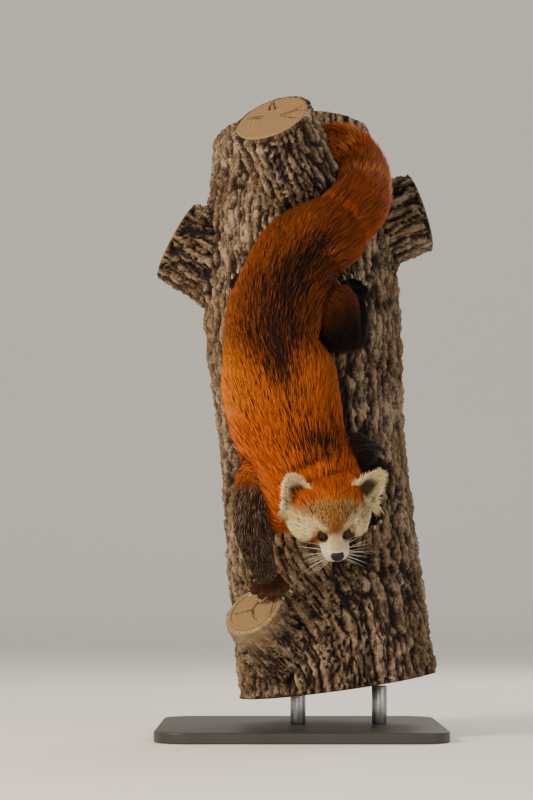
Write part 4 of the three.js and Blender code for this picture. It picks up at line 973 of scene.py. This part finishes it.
on_face = kind == 1
q = to_head(root[on_face])
back_off = q - np.array([96.0, -16.0, 0.0])
back_off[:, 1] += 10 * np.sign(q[:, 1]) * ease(70, 40, q[:, 0])
flow[on_face] = unit(back_off) @ AXES
cheek = ease(26, 44, np.abs(q[:, 2])) * ease(45, 10, q[:, 0])
nape = ease(34, 8, q[:, 0]) * ease(-10, 15, q[:, 1]) * ease(46, 32, np.abs(q[:, 2]))
length[on_face] = 5.0 + 8 * ease(66, 20, q[:, 0]) + 15 * cheek + 13 * nape
rise[on_face] = 0.9 * face_depth(q) + 4.5 * nape + 8 * cheek
width[on_face] = 0.75 + 0.65 * ease(60, 15, q[:, 0])
shade_of[on_face], fleck[on_face], fleck_to[on_face] = head_markings(q)

for n, ear in enumerate(EARS.values()):
    on_ear = kind == 2 + n
    tip, front, across = ear_axes(ear)
    v_at, x_at, z_at = ((m[corner[pick[on_ear]]] * share[on_ear]).sum(1) for m in (ear_v, ear_x, ear_z))
    lie = np.outer(np.ones(len(v_at)), tip) * 1.0 + np.outer(x_at, across) * 0.7
    flow[on_ear] = unit(lie) @ AXES
    outward = x_at * np.sign(across[2] * (-1, 1)[n])
    plume = (outward > 0.5) & (v_at > 0.16) & (v_at < 0.40) & (draw.uniform(0, 1, len(v_at)) < 0.5)
    hang = np.outer(outward[plume] > 0, unit(np.array([0.45, -0.75, 0.45 * (-1, 1)[n]]))) @ AXES
    flow_here = flow[on_ear]
    flow_here[plume] = hang
    flow[on_ear] = flow_here
    edge = ease(0.55, 0.9, np.abs(x_at)) + ease(0.8, 0.95, v_at)
    length[on_ear] = 8 + 6 * np.clip(edge, 0, 1) * ease(0.95, 0.4, v_at) + 3 * (z_at > 0) + 15 * plume
    rise[on_ear] = 1.8 + 1.2 * (z_at > 0)
    width[on_ear] = 1.0
    shade_of[on_ear], fleck[on_ear], fleck_to[on_ear] = ear_markings(v_at, x_at, z_at)

length *= MM * draw.uniform(0.78, 1.2, TUFTS)
rise *= MM * draw.uniform(0.55, 1.1, TUFTS)
width *= MM * draw.uniform(0.8, 1.2, TUFTS)
flow -= normal * (flow * normal).sum(1)[:, None]
side = unit(np.cross(flow, normal))
flow = unit(flow + side * draw.normal(0, 0.11, TUFTS)[:, None])
flow = unit(flow - normal * (flow * normal).sum(1)[:, None])
side = np.cross(flow, normal)
tips = root + flow * length[:, None] + normal * rise[:, None]

# Neighbouring tufts lean together: each tip moves towards the tip of the nearest leader.
CLUMP = {"every": 9, "pull": 0.27}
leaders = np.arange(0, TUFTS, CLUMP["every"])
cell = 0.012
keys = {}
for i in leaders:
    keys.setdefault(tuple((root[i] // cell).astype(int)), []).append(i)
led = np.full(TUFTS, -1)
cells = (root // cell).astype(int)
order = np.lexsort(cells.T)
edges = np.flatnonzero(np.any(np.diff(cells[order], axis=0) != 0, axis=1)) + 1
for group in np.split(order, edges):
    x, y, z = cells[group[0]]
    near = [i for dx in (-1, 0, 1) for dy in (-1, 0, 1) for dz in (-1, 0, 1) for i in keys.get((x + dx, y + dy, z + dz), ())]
    if near:
        gaps = ((root[group][:, None] - root[near][None]) ** 2).sum(2)
        led[group] = np.array(near)[gaps.argmin(1)]
has = led >= 0
lean = np.zeros((TUFTS, 3))
lean[has] = (tips[led[has]] - tips[has]) * CLUMP["pull"]
far = np.linalg.norm(lean, axis=1)
lean *= (np.minimum(far, 0.45 * length) / np.maximum(far, 1e-9))[:, None]
tips += lean

# One tuft: a root ring, a ring at its bend and a tip. Rings are triangles, wide across the lie.
template = bmesh.new()
bmesh.ops.create_cone(template, cap_ends=True, segments=SIDES, radius1=1.0, radius2=0.0, depth=1.0)
bmesh.ops.remove_doubles(template, verts=template.verts, dist=1e-4)
template.free()
ANGLES = np.radians([90, 210, 330])
ring = np.stack([np.cos(ANGLES), np.sin(ANGLES)], 1)
knee = root + flow * (length * 0.42)[:, None] + normal * (rise * 0.62)[:, None] + lean * 0.25
foot = root - normal * np.minimum(0.003, 0.25 * length)[:, None] - flow * (0.05 * length)[:, None]
verts = np.zeros((TUFTS, 7, 3))
for n in range(3):
    wide = side * ring[n, 0] + normal * ring[n, 1] * 0.7
    verts[:, n] = foot + wide * (0.5 * width)[:, None]
    verts[:, 3 + n] = knee + wide * (0.46 * width)[:, None]
verts[:, 6] = tips
QUADS = [(0, 1, 4, 3), (1, 2, 5, 4), (2, 0, 3, 5)]
TRIANGLES = [(3, 4, 6), (4, 5, 6), (5, 3, 6), (2, 1, 0)]
probe = verts[0] - verts[0].mean(0)
volume = sum(probe[a] @ np.cross(probe[b], probe[c]) for a, b, c in TRIANGLES) + sum(
    probe[a] @ np.cross(probe[b], probe[c]) + probe[a] @ np.cross(probe[c], probe[d]) for a, b, c, d in QUADS)
if volume < 0:
    QUADS, TRIANGLES = [q[::-1] for q in QUADS], [t[::-1] for t in TRIANGLES]

dark_one = draw.uniform(0, 1, TUFTS) < fleck
tone = np.where(dark_one[:, None], fleck_to, shade_of) * draw.uniform(0.78, 1.22, TUFTS)[:, None]
tint = np.zeros((TUFTS, 7, 4))
tint[..., 3] = 1
# Painted shade: the root ring is darkened to 0.36 of the tuft's colour for the shade deep in the coat, over the hair's
# own dark base; the tip is lighter as the hair's pale tips.
tint[:, 0:3, :3] = tone[:, None] * 0.36
tint[:, 3:6, :3] = tone[:, None] * 0.92
tint[:, 6, :3] = tone * 1.18
patch = np.array([(-1, -1), (0, -1), (1, -1), (-1, 0), (0, 0), (1, 0), (0, 1)]) * 0.0015

# Hair: dry and dyed by nature, half matt, brightest at the tips; the darkened roots are partly the hair's banding and
# partly painted shade deep in the coat.
hair, tree, surface = finish_of("guard_hair", Roughness=0.6, Specular_IOR_Level=0.18)
marks = add(tree, "ShaderNodeAttribute", attribute_name="coat").outputs["Color"]
where = add(tree, "ShaderNodeTexCoord").outputs["Object"]
strand = add(tree, "ShaderNodeTexNoise", {"Vector": where, "Scale": 1200.0, "Detail": 2.0})
tree.links.new(marks, surface.inputs["Base Color"])
relief = add(tree, "ShaderNodeBump", {"Height": strand.outputs["Fac"], "Strength": 0.3, "Distance": 0.0003})
tree.links.new(relief.outputs["Normal"], surface.inputs["Normal"])


def tuft_mesh(name, chosen):
    """One mesh of many tufts: the same corners repeated, each tuft in its own place."""
    n = len(chosen)
    base = np.arange(n)[:, None] * 7
    quads = (base[:, :, None] + np.array(QUADS)[None]).reshape(n, -1)
    triangles = (base[:, :, None] + np.array(TRIANGLES)[None]).reshape(n, -1)
    corners = np.concatenate([quads, triangles], axis=1).ravel()
    sizes = np.tile([4, 4, 4, 3, 3, 3, 3], n)
    starts = np.concatenate([[0], np.cumsum(sizes)[:-1]])
    mesh = bpy.data.meshes.new(name)
    mesh.vertices.add(n * 7)
    mesh.vertices.foreach_set("co", verts[chosen].ravel())
    mesh.loops.add(len(corners))
    mesh.loops.foreach_set("vertex_index", corners.astype(np.int32))
    mesh.polygons.add(len(sizes))
    mesh.polygons.foreach_set("loop_start", starts.astype(np.int32))
    mesh.attributes.new("coat", "FLOAT_COLOR", "POINT").data.foreach_set("color", tint[chosen].ravel())
    spread = (root_uv[chosen][:, None] + patch[None]).reshape(-1, 2)
    mesh.uv_layers.new(name="OFBake").data.foreach_set("uv", spread[corners].ravel())
    mesh.update(calc_edges=True)
    mesh.validate()
    return mesh


part_of = np.full(TUFTS, -1)
part_of[on_body] = weights.argmax(0)
height = root[:, 2]
lower_face = on_face & (to_head(root)[:, 0] > 42)
AREAS = {
    "haunch": (part_of == 0) & (height > 0.74), "loin": (part_of == 0) & (height <= 0.74) & (height > 0.64),
    "back": (part_of == 0) & (height <= 0.64) & (height > 0.55), "shoulder": (part_of == 0) & (height <= 0.55),
    "tail_root": (part_of == 1) & (height < 0.94), "tail_end": (part_of == 1) & (height >= 0.94),
    "forelegs": np.isin(part_of, [n for n, name in enumerate(NAMES) if name.startswith("fore")]),
    "hindlegs": np.isin(part_of, [n for n, name in enumerate(NAMES) if name.startswith("hind")]),
    "face": lower_face, "crown": on_face & ~lower_face, "ears": kind >= 2,
}
MOST = 19500
for name, mask in AREAS.items():
    chosen = np.flatnonzero(mask)
    groups = max(1, math.ceil(len(chosen) / MOST))
    chosen = chosen[np.argsort(height[chosen], kind="stable")]
    for number, group in enumerate(np.array_split(chosen, groups)):
        title = f"coat_{name}" if groups == 1 else f"coat_{name}_{number + 1}"
        piece(title, tuft_mesh(title, np.sort(group)), hair)
print("tufts", {name: int(mask.sum()) for name, mask in AREAS.items()})

# ---- Ear and cheek plumes -------------------------------------------------------------------------------
# The real ears carry long white hair at the outer edge that hangs past the cheek; the coat above makes it as longer
# tufts on the ears' outer edges and the cheeks.
# The real ones are glass: a dark brown iris round a black pupil under a clear, domed cornea.
# Each is a polished ball, painted from behind, set so that the lids lie on it.
glass, tree, surface = finish_of("painted_glass", Roughness=0.05, IOR=1.4, Specular_IOR_Level=0.3)
marks = add(tree, "ShaderNodeAttribute", attribute_name="paint").outputs["Color"]
tree.links.new(marks, surface.inputs["Base Color"])
for name, way in (("right", -1), ("left", 1)):
    eye = bmesh.new()
    layer = eye.verts.layers.float_color.new("paint")
    verts_of = bmesh.ops.create_uvsphere(eye, u_segments=56, v_segments=40, radius=EYE["radius"] * MM)["verts"]
    gaze = Vector(unit(np.array(EYE["gaze"]) * (1, 1, way)) @ AXES)
    middle = Vector(from_head(np.array(EYE["at"]) * (1, 1, way)))
    bmesh.ops.rotate(eye, verts=eye.verts, cent=(0, 0, 0), matrix=gaze.to_track_quat("Z", "Y").to_matrix())
    for vert in eye.verts:
        angle = vert.co.angle(gaze)
        streaky = 0.5 + 0.5 * noise.noise(vert.co * 900)
        iris = rgb("3a1c0a") * (0.6 + 0.7 * streaky)
        shown = blend(np.tile(rgb("040302"), (1, 1)), iris, [float(ease(0.40, 0.52, angle))])[0]
        shown = shown + (rgb("0a0605") - shown) * float(ease(0.78, 0.92, angle))
        vert[layer] = (*shown, 1)
    bmesh.ops.translate(eye, verts=eye.verts, vec=middle)
    piece(f"eyeball_{name}", eye, glass, nodes=[f"eye_{name}"])

# ---- Nose -----------------------------------------------------------------------------------------------
# The real one is bare, leathery skin with two comma nostrils and a groove between them.
# It is modelled in wax from a rounded pad, pressed in at the nostrils, and varnished.
NOSE = {"at": (90.5, -17, 0), "size": (9.2, 10.2, 12)}
leather, tree, surface = finish_of("varnished_wax", Roughness=0.36, Specular_IOR_Level=0.3)
where = add(tree, "ShaderNodeTexCoord").outputs["Object"]
cobble = add(tree, "ShaderNodeTexVoronoi", {"Vector": where, "Scale": 1100.0})  # cobbles of about 0.9 mm
shade = add(tree, "ShaderNodeValToRGB", {"Fac": cobble.outputs["Distance"]})
stops(shade, [(0.1, "120f0d"), (0.8, "070606")])
tree.links.new(shade.outputs["Color"], surface.inputs["Base Color"])
relief = add(tree, "ShaderNodeBump", {"Height": cobble.outputs["Distance"], "Strength": 0.5, "Distance": 0.0004})
relief.invert = True
tree.links.new(relief.outputs["Normal"], surface.inputs["Normal"])
pad = bmesh.new()
verts_of = bmesh.ops.create_uvsphere(pad, u_segments=72, v_segments=56, radius=1.0)["verts"]
flat = np.array([v.co for v in verts_of])
narrow = 1 - 0.28 * np.maximum(-flat[:, 1], 0)
full = np.sign(flat) * np.abs(flat) ** 0.9
form = np.array(NOSE["at"]) + np.array(NOSE["size"]) * (1, 1, 1) * np.stack([full[:, 0], full[:, 1], full[:, 2] * narrow], 1)
for way in (-1, 1):
    slit = [(98.5, -15.5, 3.6 * way), (97.5, -14.2, 5.4 * way), (94, -13.5, 8.2 * way), (91, -15.0, 9.6 * way)]
    line = spline(slit, np.linspace(0, 1, 24))
    gap = np.sqrt(((form[:, None] - line[None]) ** 2).sum(2)).min(1)
    form -= unit(form - np.array(NOSE["at"])) * (3.4 * np.exp(-((gap / 1.75) ** 2)))[:, None]
groove = np.exp(-((form[:, 2] / 0.8) ** 2)) * ease(-11, -16, form[:, 1]) * ease(92, 95, form[:, 0])
form[:, 0] -= 0.9 * groove
for vert, there in zip(verts_of, from_head(form)):
    vert.co = there
bmesh.ops.recalc_face_normals(pad, faces=pad.faces)
piece("nose_pad", pad, leather, nodes=["nose"])

# ---- Whiskers -------------------------------------------------------------------------------------------
# The real ones are stiff white hairs in rows on the pads of the muzzle, with a few over the eyes.
# Each is a thin, curved, tapered rod set into the skin.
WHISKERS = {"rows": 4, "per_row": 4, "length": (30, 58), "radius": 0.17}
bristle, tree, surface = finish_of("white_bristle", Roughness=0.35, Base_Color=paint("e9e2cf"))
where = add(tree, "ShaderNodeTexCoord").outputs["Object"]
cloud = add(tree, "ShaderNodeTexNoise", {"Vector": where, "Scale": 60.0})
shade = add(tree, "ShaderNodeValToRGB", {"Fac": cloud.outputs["Fac"]})
stops(shade, [(0.3, "d9cfb4"), (0.7, "f4efe0")])
tree.links.new(shade.outputs["Color"], surface.inputs["Base Color"])
whiskers = bmesh.new()
draw = np.random.default_rng(4)
for way in (-1, 1):
    for row in range(WHISKERS["rows"]):
        for n in range(WHISKERS["per_row"]):
            from_way = unit(np.array([[82 - 5.5 * n, -12 - 4.0 * row + 0.8 * n, (9 + 2.6 * n) * way]]) - HEART)
            base_at = on_head(from_way, 1.5)[0]
            long = draw.uniform(*WHISKERS["length"]) * (0.75 + 0.12 * n)
            aim = unit(np.array([0.28 - 0.17 * n, 0.20 - 0.30 * row, 0.85 * way]) + draw.normal(0, 0.07, 3))
            droop = np.array([-0.16, -0.20, 0.0]) * long
            points = [base_at, base_at + aim * long * 0.5 + droop * 0.2, base_at + aim * long + droop]
            world = [from_head(p) * 1000 for p in points]
            r = WHISKERS["radius"]
            rounded(whiskers, world, [(r, r), (r * 0.8, r * 0.8), (r * 0.25, r * 0.25)], sides=5, rings=9, cap=(0.5, 0.5))
    for n in range(3):
        base_at = on_head(unit(np.array([[50 - 3 * n, 12 + 2 * n, (20 + 3 * n) * way]]) - HEART), 1.5)[0]
        aim = unit(np.array([0.5, 0.75, 0.45 * way]) + draw.normal(0, 0.1, 3))
        points = [base_at, base_at + aim * 13, base_at + aim * 25 + np.array([-3.0, -4.0, 2.0 * way])]
        world = [from_head(p) * 1000 for p in points]
        rounded(whiskers, world, [(0.15, 0.15), (0.12, 0.12), (0.05, 0.05)], sides=5, rings=8, cap=(0.4, 0.4))
bmesh.ops.recalc_face_normals(whiskers, faces=whiskers.faces)
piece("whiskers", whiskers, bristle)

# ---- Claws ----------------------------------------------------------------------------------------------
# The real ones are horn: curved, semi-retractile, grey-brown at the root and pale at the point.
# Each is drawn out to a point from an oval root and sits in the end of its toe.
CLAW = {"length": 17, "radius": 2.5}
horn, tree, surface = finish_of("horn", Roughness=0.34, Specular_IOR_Level=0.5, Subsurface_Weight=0.05)
where = add(tree, "ShaderNodeTexCoord").outputs["Object"]
fibre = add(tree, "ShaderNodeTexNoise", {"Vector": where, "Scale": 500.0, "Detail": 4.0})
shade = add(tree, "ShaderNodeValToRGB", {"Fac": fibre.outputs["Fac"]})
stops(shade, [(0.3, "75695a"), (0.7, "bdb097")])
tree.links.new(shade.outputs["Color"], surface.inputs["Base Color"])
relief = add(tree, "ShaderNodeBump", {"Height": fibre.outputs["Fac"], "Strength": 0.25, "Distance": 0.0002})
tree.links.new(relief.outputs["Normal"], surface.inputs["Normal"])
for name in PAWS:
    claws = bmesh.new()
    for points, way, top in toes(name):
        base_at = points[2] - way * 4 + top * 2
        hook = base_at + way * CLAW["length"] * 0.6 + top * 0.5
        point = base_at + way * CLAW["length"] - top * 5
        r = CLAW["radius"]
        rounded(claws, [base_at, hook, point], [(r * 0.8, r), (r * 0.7, r * 0.95), (0.4, 0.4)], back=top, sides=14,
                rings=16, cap=(1.5, 0.5))
    bmesh.ops.recalc_face_normals(claws, faces=claws.faces)
    stood_for = [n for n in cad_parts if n.startswith(f"{name}_claw")]
    piece(f"claws_{name}", claws, horn, nodes=stood_for)

# ---- Studio ---------------------------------------------------------------------------------------------
# A pale floor that sweeps up into a backdrop, soft lights, and the camera at the photograph's angle.
# The key light is warm and stands to the left of the camera, as the sun does there.
paper, tree, surface = finish_of("backdrop_paper", Roughness=0.9, Base_Color=paint("e4e2de"))
floor = bmesh.new()
bmesh.ops.create_grid(floor, x_segments=1, y_segments=1, size=7.0)
far_edge = [e for e in floor.edges if all(v.co.y > 6.9 for v in e.verts)]
for turn in range(1, 13):
    angle = math.pi / 2 * turn / 12
    grown_edge = bmesh.ops.extrude_edge_only(floor, edges=far_edge)["geom"]
    lifted = [g for g in grown_edge if isinstance(g, bmesh.types.BMVert)]
    for vert in lifted:
        vert.co.y = 7.0 + 1.5 * math.sin(angle)
        vert.co.z = 1.5 * (1 - math.cos(angle))
    far_edge = [g for g in grown_edge if isinstance(g, bmesh.types.BMEdge)]
wall = [g for g in bmesh.ops.extrude_edge_only(floor, edges=far_edge)["geom"] if isinstance(g, bmesh.types.BMVert)]
bmesh.ops.translate(floor, verts=wall, vec=(0, 0, 6))
mesh = bpy.data.meshes.new("studio_floor")
floor.to_mesh(mesh)
floor.free()
mesh.polygons.foreach_set("use_smooth", np.full(len(mesh.polygons), True))
mesh.materials.append(paper)
studio_floor = bpy.data.objects.new("studio_floor", mesh)
bpy.context.scene.collection.objects.link(studio_floor)

LIGHTS = {  # place, watts, size in metres and colour
    "key": ((-2.6, -2.2, 2.2), 170, 0.9, "ffeaca"),
    "fill": ((2.6, -2.6, 1.0), 34, 2.4, "fff6ec"),
    "low": ((-0.6, -2.6, 0.25), 14, 1.0, "fff2e2"),
    "rim": ((1.4, 2.2, 2.2), 50, 1.4, "fff4e6"),
}
for name, (at_place, watts, size, code) in LIGHTS.items():
    lamp = bpy.data.lights.new(name, "AREA")
    lamp.energy, lamp.size, lamp.color = watts, size, paint(code)[:3]
    holder = bpy.data.objects.new(name, lamp)
    holder.location = at_place
    holder.rotation_euler = (Vector((0, -0.1, 0.55)) - Vector(at_place)).to_track_quat("-Z", "Y").to_euler()
    bpy.context.scene.collection.objects.link(holder)
world = bpy.data.worlds.new("studio")
world.use_nodes = True
world.node_tree.nodes["Background"].inputs["Color"].default_value = paint("f2efea")
world.node_tree.nodes["Background"].inputs["Strength"].default_value = 0.75
bpy.context.scene.world = world

VIEW = {"from": (-0.062, -3.98573, 0.27017), "to": (-0.062, -0.25, 0.597), "lens": 96.43}
camera = bpy.data.cameras.new("camera")
camera.sensor_fit, camera.sensor_height, camera.lens = "VERTICAL", 36.0, VIEW["lens"]
camera.clip_end = 60
stand_at = bpy.data.objects.new("camera", camera)
stand_at.location = VIEW["from"]
stand_at.rotation_euler = (Vector(VIEW["to"]) - Vector(VIEW["from"])).to_track_quat("-Z", "Y").to_euler()
bpy.context.scene.collection.objects.link(stand_at)
bpy.context.scene.camera = stand_at
